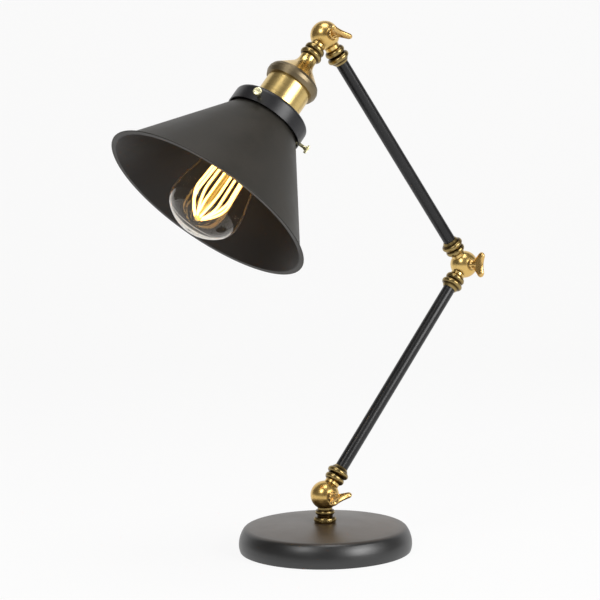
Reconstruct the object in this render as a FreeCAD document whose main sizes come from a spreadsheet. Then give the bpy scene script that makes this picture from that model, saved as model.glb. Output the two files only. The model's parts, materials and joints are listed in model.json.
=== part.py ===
import FreeCAD, Part
import math
import os
import re
import Sketcher

# Desk lamp with two tube arms on three ball-shaped swivel joints.
# The origin is the middle of the base's underside and +Z is up. The arms lie in the XZ plane:
# the elbow is towards +X, the head towards -X, and the wing screws face -Y.

Vector = FreeCAD.Vector

document = FreeCAD.newDocument("desk_lamp")
sheet = document.addObject("Spreadsheet::Sheet", "dims")
sizes = []
sub_parts = []


def size(name, amount, meaning):
    """Adds one driving dimension, in millimetres or degrees, to the sheet."""
    row = len(sizes) + 1
    sheet.set(f"A{row}", meaning)
    sheet.set(f"B{row}", str(amount))
    sheet.setAlias(f"B{row}", name)
    sheet.recompute()
    sizes.append(name)


def formula(words):
    """Turns the sizes named in an expression into the sheet's cells."""
    return re.sub(
        r"[a-z_]\w*", lambda found: "dims." + found[0] if found[0] in sizes else found[0], words
    )


def amount(words):
    """Gives the number that an expression comes to now."""
    result = sheet.evalExpression(formula(words))
    return float(getattr(result, "Value", result))


def new_body(label):
    """Starts one sub-part."""
    body = document.addObject("PartDesign::Body", label)
    body.Label = label
    body.AllowCompound = True
    sub_parts.append(body)
    return body


def plane(body, role):
    """Finds one of the body's own origin planes or axes."""
    return next(item for item in body.Origin.OriginFeatures if item.Role == role)


def bind(item, **properties):
    """Binds properties of a feature to the sheet."""
    for name, words in properties.items():
        item.setExpression(name, formula(words))


def move(item, x="0", y="0", z="0", turn="0", about="0; 0; 1"):
    """Places a body or a feature, turned about one axis through its own origin."""
    words = f"placement(vector({x}; {y}; {z}); rotation(vector({about}); {turn}))"
    item.setExpression("Placement", formula(words))


def outline(body, corners, role="XZ_Plane"):
    """Draws a closed outline. A corner is (x, y), or (x, y, radius, "left" or "right") where an arc
    that turns that way leads to it."""
    sketch = body.newObject("Sketcher::SketchObject", "outline")
    sketch.AttachmentSupport = (plane(body, role), [""])
    sketch.MapMode = "FlatFace"
    points = [Vector(amount(corner[0]), amount(corner[1]), 0) for corner in corners]
    ends = []
    for place, corner in enumerate(corners):
        start, end = points[place - 1], points[place]
        if len(corner) == 2:
            edge = sketch.addGeometry(Part.LineSegment(start, end))
            ends.append((edge, 1, 2))
            continue
        radius = amount(corner[2])
        chord = end - start
        sagitta = radius - math.sqrt(radius**2 - chord.Length**2 / 4)
        outward = Vector(chord.y, -chord.x, 0).normalize()
        if corner[3] == "right":
            outward = outward * -1
        edge = sketch.addGeometry(Part.Arc(start, (start + end) / 2 + outward * sagitta, end))
        ends.append((edge, 1, 2) if corner[3] == "left" else (edge, 2, 1))
    for place, (edge, first, last) in enumerate(ends):
        following, follow_first, _ = ends[(place + 1) % len(ends)]
        sketch.addConstraint(
            Sketcher.Constraint("Coincident", edge, last, following, follow_first)
        )
    for (edge, first, last), corner, point in zip(ends, corners, points):
        for kind, words, value, axis in (
            ("DistanceX", corner[0], point.x, -2),
            ("DistanceY", corner[1], point.y, -1),
        ):
            if words == "0":
                sketch.addConstraint(Sketcher.Constraint("PointOnObject", edge, last, axis))
                continue
            held = sketch.addConstraint(Sketcher.Constraint(kind, -1, 1, edge, last, value))
            sketch.setExpression(f"Constraints[{held}]", formula(words))
        if len(corner) == 4:
            held = sketch.addConstraint(Sketcher.Constraint("Radius", edge, amount(corner[2])))
            sketch.setExpression(f"Constraints[{held}]", formula(corner[2]))
    return sketch


def turn(body, corners, kind="Revolution"):
    """Turns an outline about the body's own Z axis."""
    sketch = outline(body, corners)
    feature = body.newObject("PartDesign::" + kind, "turned")
    feature.Profile = sketch
    feature.ReferenceAxis = (sketch, ["V_Axis"])
    feature.Angle = 360
    return feature


def extrude(body, corners, length, role="XY_Plane"):
    """Extrudes an outline to both sides of its plane."""
    feature = body.newObject("PartDesign::Pad", "plate")
    feature.Profile = outline(body, corners, role)
    feature.SideType = "Symmetric"
    bind(feature, Length=length)
    return feature


def cylinder(body, kind, radius, length, **where):
    """Adds or takes away a cylinder that stands on its own origin."""
    feature = body.newObject(f"PartDesign::{kind}Cylinder", "round")
    bind(feature, Radius=radius, Height=length)
    move(feature, **where)
    return feature


def box(body, kind, length, width, height, **where):
    """Adds or takes away a box that starts at its own corner."""
    feature = body.newObject(f"PartDesign::{kind}Box", "block")
    bind(feature, Length=length, Width=width, Height=height)
    move(feature, **where)
    return feature


def half_sphere(body, radius, y, turned):
    """Takes away the half of a sphere that lies towards +Y, or towards -Y when turned by 180."""
    feature = body.newObject("PartDesign::SubtractiveSphere", "half_ball")
    bind(feature, Radius=radius)
    feature.Angle3 = 180
    move(feature, y=y, turn=turned)
    return feature


def repeat(body, feature, count, first_axis="Z_Axis"):
    """Repeats a feature in even steps round one of the body's axes."""
    document.recompute()
    pattern = body.newObject("PartDesign::PolarPattern", "repeated")
    pattern.Originals = [feature]
    pattern.Axis = (plane(body, first_axis), [""])
    pattern.Angle = 360
    bind(pattern, Occurrences=count)
    body.Tip = pattern
    return pattern


# Where the three joints are, and how far each link leans from upright. A lean turns +Z towards +X.
size("foot_height", 47.7, "height of the foot joint")
size("arm_length", 250, "length of each arm, from joint to joint")
size("lower_lean", 38.9, "lean of the lower arm")
size("upper_lean", -37.0, "lean of the upper arm")
size("head_lean", 219.6, "lean of the head, which hangs down")

JOINT_AT = {"foot": ("0", "foot_height")}
JOINT_AT["elbow"] = (
    "arm_length * sin(lower_lean * 1deg)",
    "foot_height + arm_length * cos(lower_lean * 1deg)",
)
JOINT_AT["head"] = (
    JOINT_AT["elbow"][0] + " + arm_length * sin(upper_lean * 1deg)",
    JOINT_AT["elbow"][1] + " + arm_length * cos(upper_lean * 1deg)",
)


def put_on(body, joint, lean):
    """Puts a piece drawn along +Z from a joint's middle onto that joint, along its link."""
    x, z = JOINT_AT[joint]
    move(body, x=x, z=z, turn=lean, about="0; 1; 0")


# Base shell: a spun steel dome with a rounded side, a nearly flat top and an open underside.
size("base_radius", 75, "widest radius of the base")
size("base_bottom_radius", 74, "radius of the base's lower edge")
size("base_lift", 0.5, "height of the shell's lower edge over the table")
size("base_equator", 5.9, "height at which the base is widest")
size("base_side_curve", 22.8, "radius of the rounded side")
size("base_turn_radius", 71.4, "radius where the side turns into the edge")
size("base_turn_height", 18.2, "height where the side turns into the edge")
size("base_edge_curve", 5.5, "radius of the rounded edge")
size("base_shoulder_radius", 67.3, "radius where the edge turns into the top")
size("base_shoulder_height", 20.7, "height where the edge turns into the top")
size("base_flat", 12, "radius of the flat under the foot joint")
size("base_height", 24, "height of the base")
size("base_wall", 2.2, "thickness of the shell")
size("nipple_hole", 5.1, "radius of a hole for a threaded nipple")
size("inlet_height", 8.3, "height of the lead's inlet")
size("inlet_hole", 3.8, "radius of the inlet's hole in the shell")

crown_drop = "(base_height - base_shoulder_height)"
crown_curve = f"((base_shoulder_radius - base_flat)^2 + {crown_drop}^2) / (2 * {crown_drop})"
lower_drop = "(base_equator - base_lift)"
lower_step = "(base_radius - base_bottom_radius)"
lower_curve = f"({lower_step}^2 + {lower_drop}^2) / (2 * {lower_step})"

base_shell = new_body("base_shell")
turn(
    base_shell,
    [
        ("nipple_hole", "base_height - base_wall"),
        ("base_flat", "base_height - base_wall"),
        (
            "base_shoulder_radius - base_wall / 10",
            "base_shoulder_height - base_wall",
            f"{crown_curve} - base_wall",
            "right",
        ),
        (
            "base_turn_radius - base_wall * 0.86",
            "base_turn_height - base_wall / 2",
            "base_edge_curve - base_wall",
            "right",
        ),
        ("base_radius - base_wall", "base_equator", "base_side_curve - base_wall", "right"),
        ("base_bottom_radius - base_wall", "base_lift"),
        ("base_bottom_radius", "base_lift"),
        ("base_radius", "base_equator", lower_curve, "left"),
        ("base_turn_radius", "base_turn_height", "base_side_curve", "left"),
        ("base_shoulder_radius", "base_shoulder_height", "base_edge_curve", "left"),
        ("base_flat", "base_height", crown_curve, "left"),
        ("nipple_hole", "base_height"),
    ],
)
cylinder(
    base_shell,
    "Subtractive",
    "inlet_hole",
    "base_radius / 2",
    x="base_radius / 2 + base_wall",
    z="inlet_height",
    turn="90",
    about="0; 1; 0",
)

# Base weight: a cast disc with a middle hub that meets the shell, a well below for the nut, a
# channel for the lead and three tapped holes for the closing plate.
size("weight_radius", 68, "radius of the weight")
size("weight_bottom", 3.6, "height of the weight's underside")
size("weight_top", 14, "height of the weight's rim")
size("hub_radius", 11.5, "radius of the weight's hub")
size("well_radius", 12, "radius of the well for the nut")
size("well_top", 18, "height of the well's top")
size("channel_width", 8, "width of the lead's channel")
size("channel_top", 11, "height of the channel's top")
size("weight_slope", 24, "radius where the weight's top slopes up to its hub")
size("plate_screw_circle", 50, "radius of the circle of plate screws")
size("plate_screw_radius", 2, "radius of a plate screw's thread")
size("plate_screw_length", 7, "length of a plate screw")
size("plate_screw_count", 3, "how many screws hold the closing plate")

base_weight = new_body("base_weight")
turn(
    base_weight,
    [
        ("nipple_hole", "well_top"),
        ("well_radius", "well_top"),
        ("well_radius", "weight_bottom"),
        ("weight_radius", "weight_bottom"),
        ("weight_radius", "weight_top"),
        ("weight_slope", "weight_top"),
        ("well_radius + 2", "well_top + 2"),
        ("hub_radius", "base_height - base_wall"),
        ("nipple_hole", "base_height - base_wall"),
    ],
)
box(
    base_weight,
    "Subtractive",
    "weight_radius",
    "channel_width",
    "channel_top - weight_bottom",
    x="well_radius / 2",
    y="-channel_width / 2",
    z="weight_bottom",
)
tapped_hole = cylinder(
    base_weight,
    "Subtractive",
    "plate_screw_radius + 0.02",
    "plate_screw_length",
    x="-plate_screw_circle",
    z="weight_bottom",
)
repeat(base_weight, tapped_hole, "plate_screw_count")

# Base plate: a thin steel disc that closes the underside, with three countersunk holes.
size("plate_radius", 70.5, "radius of the closing plate")
size("pad_thickness", 2, "thickness of the soft pad")
size("plate_thickness", 1.5, "thickness of the closing plate")
size("screw_head_radius", 3.6, "radius of a countersunk head")

base_plate = new_body("base_plate")
cylinder(base_plate, "Additive", "plate_radius", "plate_thickness", z="pad_thickness")
countersink = base_plate.newObject("PartDesign::SubtractiveCone", "countersink")
bind(
    countersink,
    Radius1="screw_head_radius",
    Radius2="plate_screw_radius + 0.1",
    Height="plate_thickness",
)
move(countersink, x="-plate_screw_circle", z="pad_thickness")
repeat(base_plate, countersink, "plate_screw_count")

# Plate screws: three countersunk screws through the plate into the weight.
plate_screws = new_body("plate_screws")
screw_head = plate_screws.newObject("PartDesign::AdditiveCone", "head")
bind(
    screw_head,
    Radius1="screw_head_radius - 0.1",
    Radius2="plate_screw_radius",
    Height="plate_thickness",
)
move(screw_head, x="-plate_screw_circle", z="pad_thickness")
screw_shank = cylinder(
    plate_screws,
    "Additive",
    "plate_screw_radius",
    "plate_screw_length - 1",
    x="-plate_screw_circle",
    z="pad_thickness + plate_thickness",
)
screw_slot = box(
    plate_screws,
    "Subtractive",
    "2 * screw_head_radius",
    "0.8",
    "0.7",
    x="-plate_screw_circle - screw_head_radius",
    y="-0.4",
    z="pad_thickness",
)
document.recompute()
screw_pattern = plate_screws.newObject("PartDesign::PolarPattern", "repeated")
screw_pattern.Originals = [screw_head, screw_shank, screw_slot]
screw_pattern.Axis = (plane(plate_screws, "Z_Axis"), [""])
bind(screw_pattern, Occurrences="plate_screw_count")
plate_screws.Tip = screw_pattern

# Base pad: the soft disc that the lamp stands on, glued to the plate.
size("pad_radius", 71.5, "radius of the soft pad")

base_pad = new_body("base_pad")
cylinder(base_pad, "Additive", "pad_radius", "pad_thickness")

# Inlet grommet: a rubber bush in the back of the shell that the lead goes in through.
size("grommet_flange", 5.4, "radius of the grommet's flanges")
size("grommet_bore", 2.7, "radius of the hole through the grommet")
size("grommet_lip", 2, "thickness of each flange")
size("grommet_neck", 3.6, "length of the grommet's neck, through the shell")

inlet_grommet = new_body("inlet_grommet")
turn(
    inlet_grommet,
    [
        ("grommet_bore", "0"),
        ("grommet_flange - 0.8", "0"),
        ("grommet_flange", "0.8", "0.8", "left"),
        ("grommet_flange", "grommet_lip"),
        ("inlet_hole - 0.1", "grommet_lip"),
        ("inlet_hole - 0.1", "grommet_lip + grommet_neck"),
        ("grommet_flange - 0.8", "grommet_lip + grommet_neck"),
        ("grommet_flange - 0.8", "2 * grommet_lip + grommet_neck"),
        ("grommet_bore", "2 * grommet_lip + grommet_neck"),
    ],
)
move(
    inlet_grommet,
    x="base_radius + 0.05 + grommet_lip",
    z="inlet_height",
    turn="-90",
    about="0; 1; 0",
)

# Foot nipple, washer and nut: they clamp the foot joint, the shell and the weight together.
size("nipple_radius", 5, "radius of a threaded nipple")
size("nipple_bore", 3.5, "radius of a nipple's bore")
size("washer_radius", 9.5, "radius of the foot washer")
size("washer_thickness", 1.2, "thickness of the foot washer")
size("nut_height", 3.5, "height of the foot nut")
size("nut_radius", 8, "radius of the foot nut over its corners")
size("foot_nipple_top", 34, "height of the foot nipple's top")

foot_nipple = new_body("foot_nipple")
turn(
    foot_nipple,
    [
        ("nipple_bore", "well_top - washer_thickness - nut_height - 0.5"),
        ("nipple_radius", "well_top - washer_thickness - nut_height - 0.5"),
        ("nipple_radius", "foot_nipple_top"),
        ("nipple_bore", "foot_nipple_top"),
    ],
)

foot_washer = new_body("foot_washer")
cylinder(
    foot_washer, "Additive", "washer_radius", "washer_thickness", z="well_top - washer_thickness"
)
cylinder(foot_washer, "Subtractive", "nipple_hole", "base_height")

foot_nut = new_body("foot_nut")
hexagon = foot_nut.newObject("PartDesign::AdditivePrism", "hexagon")
bind(hexagon, Circumradius="nut_radius", Height="nut_height")
move(hexagon, z="well_top - washer_thickness - nut_height")
cylinder(foot_nut, "Subtractive", "nipple_radius + 0.01", "base_height")

# Swivel joint halves: a brass half-ball, hollow round the screw's hub, on a turned stem. It is
# drawn with the ball's middle at the origin, its stem along +Z and the wing screw along -Y.
# The near half lies towards -Y and has a flat for the screw. The far half is tapped.
size("ball_radius", 12.4, "radius of a joint's ball")
size("ball_wall", 1.8, "wall of a half-ball")
size("ball_gap", 0.1, "gap between the two halves")
size("ball_clearance", 0.4, "gap between a stem and the other half's ball")
size("post_radius", 5, "radius of the post inside a half-ball")
size("spot_depth", 11.1, "distance of the screw's flat from the ball's middle")
size("wing_screw_radius", 2.5, "radius of a wing screw's shank")
size("screw_hole", 2.56, "radius of the hole for the shank")
size("tapped_depth", 9.5, "depth of the tapped hole in the far half")
size("wire_hole", 3.5, "radius of the wiring's way through a stem")
size("waist_radius", 6.4, "radius of a stem's waist, next to the ball")
size("waist_end", 13.4, "distance of the waist's end from the ball's middle")
size("bead_foot", 7.5, "radius at the foot of a stem's beads")
size("first_bead_start", 14.3, "start of the first bead")
size("first_bead_end", 19.3, "end of the first bead")
size("first_bead_curve", 3.05, "radius of the first bead's round")
size("second_bead_start", 20.3, "start of the second bead")
size("second_bead_end", 25, "end of the second bead")
size("second_bead_curve", 2.5, "radius of the second bead's round")
size("second_bead_foot", 8.1, "radius at the foot of the second bead")
size("stem_end", 28, "end of an arm's stem")
size("stem_tip_radius", 6.1, "radius of a stem's end, round the tube")
size("tube_radius", 5.6, "outer radius of an arm tube")
size("tube_start", 22, "distance of a tube's end from the joint's middle")

WAIST = [("waist_radius", "waist_end"), ("bead_foot", "first_bead_start")]
FIRST_BEAD = [
    ("bead_foot", "first_bead_end", "first_bead_curve", "left"),
    ("bead_foot - 0.3", "first_bead_end + 0.5"),
    ("second_bead_foot", "second_bead_start"),
]
SECOND_BEAD = [("second_bead_foot", "second_bead_end", "second_bead_curve", "left")]
ARM_STEM = WAIST + FIRST_BEAD + SECOND_BEAD + [("stem_tip_radius", "stem_end")]


def swivel_half(label, stem, stem_length, near, hole_radius, hole_start):
    """Makes one half of a ball joint. A stem is its outline from the waist outwards, and the hole
    in its end takes a tube or a nipple."""
    body = new_body(label)
    kept, taken = ("180", "0") if near else ("0", "180")
    side = "-1" if near else "1"
    ball_top = "sqrt(ball_radius^2 - waist_radius^2)"
    turn(
        body,
        [("0", "-ball_radius"), ("waist_radius", ball_top, "ball_radius", "left")]
        + stem
        + [("0", stem_length)],
    )
    half_sphere(body, "ball_radius + ball_clearance", f"{side} * ball_gap / 2", taken)
    half_sphere(body, "ball_radius - ball_wall", f"{side} * ball_gap / 2", kept)
    outward = "90" if near else "-90"
    cylinder(
        body,
        "Additive",
        "post_radius",
        "ball_radius - ball_wall / 2 - ball_gap / 2",
        y=f"{side} * ball_gap / 2",
        turn=outward,
        about="1; 0; 0",
    )
    if near:
        box(
            body,
            "Subtractive",
            "2 * ball_radius",
            "ball_radius",
            "2 * ball_radius",
            x="-ball_radius",
            y="-spot_depth - ball_radius",
            z="-ball_radius",
        )
    cylinder(
        body,
        "Subtractive",
        "screw_hole",
        "2 * ball_radius" if near else "tapped_depth",
        turn=outward,
        about="1; 0; 0",
    )
    cylinder(body, "Subtractive", "wire_hole", stem_length, z="post_radius + 3")
    cylinder(body, "Subtractive", hole_radius, stem_length, z=hole_start)
    return body


# Foot joint half: it stands on the base on two flat-sided rings.
size("foot_ring_foot", 7.6, "radius at the foot of the foot's upper ring")
size("foot_ring_start", 12.8, "start of the foot's upper ring")
size("foot_ring_end", 16.5, "end of the foot's upper ring")
size("foot_ring_curve", 2.4, "radius of the upper ring's round")
size("foot_groove", 6.8, "radius of the groove between the rings")
size("foot_collar_start", 18.6, "start of the foot's lower ring")
size("foot_collar_radius", 8.7, "radius at the foot of the lower ring")
size("foot_collar_curve", 3.4, "radius of the lower ring's round")

foot_end = "(foot_height - base_height)"
FOOT_STEM = [
    ("waist_radius", "foot_ring_start - 0.3"),
    ("foot_ring_foot", "foot_ring_start"),
    ("foot_ring_foot", "foot_ring_end", "foot_ring_curve", "left"),
    ("foot_groove", "foot_ring_end + 0.2"),
    ("foot_groove", "foot_collar_start - 0.2"),
    ("foot_collar_radius", "foot_collar_start"),
    ("foot_collar_radius", foot_end, "foot_collar_curve", "left"),
]
foot_joint = swivel_half(
    "foot_joint",
    FOOT_STEM,
    foot_end,
    True,
    "nipple_radius + 0.01",
    "foot_height - foot_nipple_top - 0.2",
)
put_on(foot_joint, "foot", "180")

# Arm joint halves: the lower arm has the far half at both of its ends, the upper arm the near half.
for label, joint, lean, near in (
    ("lower_arm_foot_half", "foot", "lower_lean", False),
    ("lower_arm_elbow_half", "elbow", "lower_lean + 180", False),
    ("upper_arm_elbow_half", "elbow", "upper_lean", True),
    ("upper_arm_head_half", "head", "upper_lean + 180", True),
):
    half = swivel_half(label, ARM_STEM, "stem_end", near, "tube_radius + 0.02", "tube_start - 0.2")
    put_on(half, joint, lean)

# Head joint half: its stem ends in a short collar over the lampholder's nipple.
size("head_stem_end", 26, "end of the head's stem")
size("neck_radius", 7.4, "radius of the lampholder's neck")
size("head_nipple_start", 20, "start of the head nipple")

HEAD_STEM = WAIST + FIRST_BEAD + SECOND_BEAD + [("neck_radius + 0.2", "head_stem_end")]
head_joint = swivel_half(
    "head_joint",
    HEAD_STEM,
    "head_stem_end",
    False,
    "nipple_radius + 0.01",
    "head_nipple_start - 0.2",
)
put_on(head_joint, "head", "head_lean")

# Arm tubes: straight steel tubes, seated in the stems at both ends.
size("tube_wall", 1, "wall of an arm tube")

for label, joint, lean in (
    ("lower_arm_tube", "foot", "lower_lean"),
    ("upper_arm_tube", "elbow", "upper_lean"),
):
    tube = new_body(label)
    cylinder(tube, "Additive", "tube_radius", "arm_length - 2 * tube_start", z="tube_start")
    cylinder(tube, "Subtractive", "tube_radius - tube_wall", "arm_length")
    put_on(tube, joint, lean)

# Arm wiring: the sheathed flex that lies straight in each arm, from ball to ball.
size("flex_radius", 2.5, "radius of the sheathed flex")
size("flex_start", 13.2, "distance of a flex's end from the joint's middle")

for label, joint, lean in (
    ("lower_arm_flex", "foot", "lower_lean"),
    ("upper_arm_flex", "elbow", "upper_lean"),
):
    flex = new_body(label)
    cylinder(flex, "Additive", "flex_radius", "arm_length - 2 * flex_start", z="flex_start")
    put_on(flex, joint, lean)

# Base wiring: the flex from the grommet along the weight's channel and up the foot's nipple.
size("flex_bend", 4.4, "radius of the flex's bend under the nipple")

base_flex = new_body("base_flex")
flex_path = base_flex.newObject("Sketcher::SketchObject", "path")
flex_path.AttachmentSupport = (plane(base_flex, "XZ_Plane"), [""])
flex_path.MapMode = "FlatFace"
flex_outer = amount("base_radius - base_wall - grommet_lip - 2")
flex_bend = amount("flex_bend")
flex_level = amount("inlet_height")
flex_top = amount("foot_height - flex_start")
half_turn = flex_bend * math.sqrt(0.5)
path_edges = [
    Part.LineSegment(Vector(flex_outer, flex_level, 0), Vector(flex_bend, flex_level, 0)),
    Part.Arc(
        Vector(flex_bend, flex_level, 0),
        Vector(flex_bend - half_turn, flex_level + flex_bend - half_turn, 0),
        Vector(0, flex_level + flex_bend, 0),
    ),
    Part.LineSegment(Vector(0, flex_level + flex_bend, 0), Vector(0, flex_top, 0)),
]
run, bend, rise = [flex_path.addGeometry(edge) for edge in path_edges]
flex_path.addConstraint(Sketcher.Constraint("Tangent", run, 2, bend, 2))
flex_path.addConstraint(Sketcher.Constraint("Tangent", bend, 1, rise, 1))
flex_path.addConstraint(Sketcher.Constraint("Horizontal", run))
flex_path.addConstraint(Sketcher.Constraint("PointOnObject", rise, 2, -2))
flex_path.addConstraint(Sketcher.Constraint("PointOnObject", rise, 1, -2))
for kind, edge, end, words in (
    ("DistanceX", run, 1, "base_radius - base_wall - grommet_lip - 2"),
    ("DistanceY", run, 1, "inlet_height"),
    ("DistanceY", rise, 2, "foot_height - flex_start"),
):
    held = flex_path.addConstraint(Sketcher.Constraint(kind, -1, 1, edge, end, amount(words)))
    flex_path.setExpression(f"Constraints[{held}]", formula(words))
held = flex_path.addConstraint(Sketcher.Constraint("Radius", bend, flex_bend))
flex_path.setExpression(f"Constraints[{held}]", formula("flex_bend"))
flex_section = base_flex.newObject("Sketcher::SketchObject", "section")
flex_section.AttachmentSupport = (plane(base_flex, "XY_Plane"), [""])
flex_section.MapMode = "FlatFace"
flex_section.setExpression("AttachmentOffset.Base.z", formula("foot_height - flex_start"))
circle = flex_section.addGeometry(Part.Circle(Vector(), Vector(0, 0, 1), amount("flex_radius")))
flex_section.addConstraint(Sketcher.Constraint("Coincident", circle, 3, -1, 1))
held = flex_section.addConstraint(Sketcher.Constraint("Radius", circle, amount("flex_radius")))
flex_section.setExpression(f"Constraints[{held}]", formula("flex_radius"))
flex_pipe = base_flex.newObject("PartDesign::AdditivePipe", "flex")
flex_pipe.Profile = flex_section
flex_pipe.Spine = flex_path

# Head nipple: a short threaded tube that joins the head's stem to the lampholder's neck.
size("head_nipple_end", 31.5, "end of the head nipple")

head_nipple = new_body("head_nipple")
cylinder(
    head_nipple,
    "Additive",
    "nipple_radius",
    "head_nipple_end - head_nipple_start",
    z="head_nipple_start",
)
cylinder(head_nipple, "Subtractive", "nipple_bore", "head_nipple_end + 1")
put_on(head_nipple, "head", "head_lean")

# Lampholder neck: a turned brass bell that flares from the nipple to the band.
size("neck_straight_end", 28.5, "end of the neck's straight part")
size("neck_curve", 13, "radius of the neck's flare")
size("neck_cone_start", 37.7, "where the flare turns into a straight cone")
size("neck_cone_radius", 11.2, "radius where the straight cone starts")
size("bell_radius", 22.4, "radius of the bell's mouth")
size("bell_end", 49, "end of the bell")
size("bell_wall", 1.3, "wall of the bell")

holder_neck = new_body("holder_neck")
turn(
    holder_neck,
    [
        ("nipple_radius + 0.01", "head_stem_end"),
        ("neck_radius", "head_stem_end"),
        ("neck_radius", "neck_straight_end"),
        ("neck_cone_radius", "neck_cone_start", "neck_curve", "right"),
        ("bell_radius", "bell_end"),
        ("bell_radius - bell_wall", "bell_end"),
        ("neck_cone_radius - bell_wall", "neck_cone_start + bell_wall / 2"),
        ("nipple_radius + 0.01", "neck_straight_end + 2.5"),
    ],
)
put_on(holder_neck, "head", "head_lean")

# Lampholder band: a bronze ring between the neck and the body, with sloped shoulders.
size("band_end", 58, "end of the band")
size("band_radius", 23.6, "radius of the band")
size("band_rise_end", 51.7, "end of the band's first shoulder")
size("band_fall_start", 54.8, "start of the band's second shoulder")
size("band_lip", 18.6, "inner radius of the band's top")
size("holder_radius", 20, "radius of the lampholder's body")
size("holder_start", 50.1, "start of the lampholder's body")

holder_band = new_body("holder_band")
turn(
    holder_band,
    [
        ("band_lip", "bell_end"),
        ("bell_radius", "bell_end"),
        ("band_radius", "band_rise_end"),
        ("band_radius", "band_fall_start"),
        ("bell_radius - 0.2", "band_end"),
        ("holder_radius + 0.02", "band_end"),
        ("holder_radius + 0.02", "bell_end + 1"),
        ("band_lip", "bell_end + 1"),
    ],
)
put_on(holder_band, "head", "head_lean")

# Lampholder body: a brass tube, turned in at its open end.
size("holder_end", 91, "end of the lampholder's body")
size("holder_wall", 0.8, "wall of the lampholder's body")
size("holder_mouth", 15.6, "radius of the lampholder's mouth")

holder_body = new_body("holder_body")
turn(
    holder_body,
    [
        ("holder_radius - holder_wall", "holder_start"),
        ("holder_radius", "holder_start"),
        ("holder_radius", "holder_end - 1.2"),
        ("holder_radius - 1.2", "holder_end", "1.2", "left"),
        ("holder_mouth", "holder_end"),
        ("holder_mouth", "holder_end - holder_wall"),
        ("holder_radius - holder_wall", "holder_end - holder_wall"),
    ],
)
put_on(holder_body, "head", "head_lean")

# Porcelain block: the insulating cup inside the body, with two holes for the terminal screws.
size("block_radius", 18.9, "radius of the porcelain block")
size("block_start", 60, "start of the porcelain block")
size("block_floor", 68.5, "inner floor of the porcelain block")
size("block_bore", 14.4, "radius of the porcelain block's bore")
size("terminal_offset", 10, "distance of a terminal from the axis")
size("terminal_radius", 1.5, "radius of a terminal screw")

porcelain_block = new_body("porcelain_block")
turn(
    porcelain_block,
    [
        ("0", "block_start"),
        ("block_radius - 1", "block_start"),
        ("block_radius", "block_start + 1"),
        ("block_radius", "holder_end - holder_wall - 0.2"),
        ("block_bore", "holder_end - holder_wall - 0.2"),
        ("block_bore", "block_floor"),
        ("0", "block_floor"),
    ],
)
terminal_hole = cylinder(
    porcelain_block,
    "Subtractive",
    "terminal_radius + 0.02",
    "block_floor - block_start - 2",
    x="terminal_offset",
    z="block_start",
)
repeat(porcelain_block, terminal_hole, "2")
put_on(porcelain_block, "head", "head_lean")

# Threaded sleeve: the thin metal shell in the porcelain that the bulb screws into.
size("sleeve_radius", 14.2, "outer radius of the threaded sleeve")
size("sleeve_wall", 0.4, "wall of the threaded sleeve")
size("sleeve_start", 71, "start of the threaded sleeve")
size("sleeve_end", 89, "end of the threaded sleeve")

threaded_sleeve = new_body("threaded_sleeve")
cylinder(
    threaded_sleeve,
    "Additive",
    "sleeve_radius",
    "sleeve_end - sleeve_start",
    z="sleeve_start",
)
cylinder(threaded_sleeve, "Subtractive", "sleeve_radius - sleeve_wall", "sleeve_end + 1")
put_on(threaded_sleeve, "head", "head_lean")

# Centre contact: a bent strip of spring brass on the porcelain's floor, under the bulb's button.
size("contact_half_length", 7, "half the length of the contact strip")
size("contact_width", 5, "width of the contact strip")
size("contact_rise", 1.8, "height of the contact's arch over the floor")
size("contact_thickness", 0.6, "thickness of the contact strip")

centre_contact = new_body("centre_contact")
extrude(
    centre_contact,
    [
        ("-contact_half_length", "block_floor"),
        ("-contact_half_length / 2", "block_floor"),
        ("-contact_half_length / 4", "block_floor + contact_rise - contact_thickness"),
        ("contact_half_length / 4", "block_floor + contact_rise - contact_thickness"),
        ("contact_half_length / 2", "block_floor"),
        ("contact_half_length", "block_floor"),
        ("contact_half_length", "block_floor + contact_thickness"),
        ("contact_half_length / 1.7", "block_floor + contact_thickness"),
        ("contact_half_length / 3", "block_floor + contact_rise"),
        ("-contact_half_length / 3", "block_floor + contact_rise"),
        ("-contact_half_length / 1.7", "block_floor + contact_thickness"),
        ("-contact_half_length", "block_floor + contact_thickness"),
    ],
    "contact_width",
    "XZ_Plane",
)
put_on(centre_contact, "head", "head_lean")

# Terminal screws: two brass screws in the back of the porcelain that hold the wires.
terminal_screws = new_body("terminal_screws")
terminal_head = cylinder(
    terminal_screws,
    "Additive",
    "1.8 * terminal_radius",
    "1.8",
    x="terminal_offset",
    z="block_start - 1.8",
)
terminal_shank = cylinder(
    terminal_screws,
    "Additive",
    "terminal_radius",
    "block_floor - block_start - 2.5",
    x="terminal_offset",
    z="block_start",
)
document.recompute()
terminal_pair = terminal_screws.newObject("PartDesign::PolarPattern", "repeated")
terminal_pair.Originals = [terminal_head, terminal_shank]
terminal_pair.Axis = (plane(terminal_screws, "Z_Axis"), [""])
terminal_pair.Occurrences = 2
terminal_screws.Tip = terminal_pair
put_on(terminal_screws, "head", "head_lean")

# Head wiring: the flex down the nipple, and its two cores spread to the terminal screws.
size("flex_split", 44, "where the flex splits into its two cores")
size("core_radius", 1, "radius of an insulated core")

head_flex = new_body("head_flex")
cylinder(head_flex, "Additive", "flex_radius", "flex_split - flex_start", z="flex_start")
core_run = "(terminal_offset - core_radius)"
core_drop = "(block_start - 4.5 - flex_split)"
core = cylinder(
    head_flex,
    "Additive",
    "core_radius",
    f"sqrt({core_run}^2 + {core_drop}^2) + 2",
    x="core_radius / 2",
    z="flex_split - 1",
    turn=f"atan({core_run} / {core_drop})",
    about="0; 1; 0",
)
repeat(head_flex, core, "2")
put_on(head_flex, "head", "head_lean")

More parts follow.
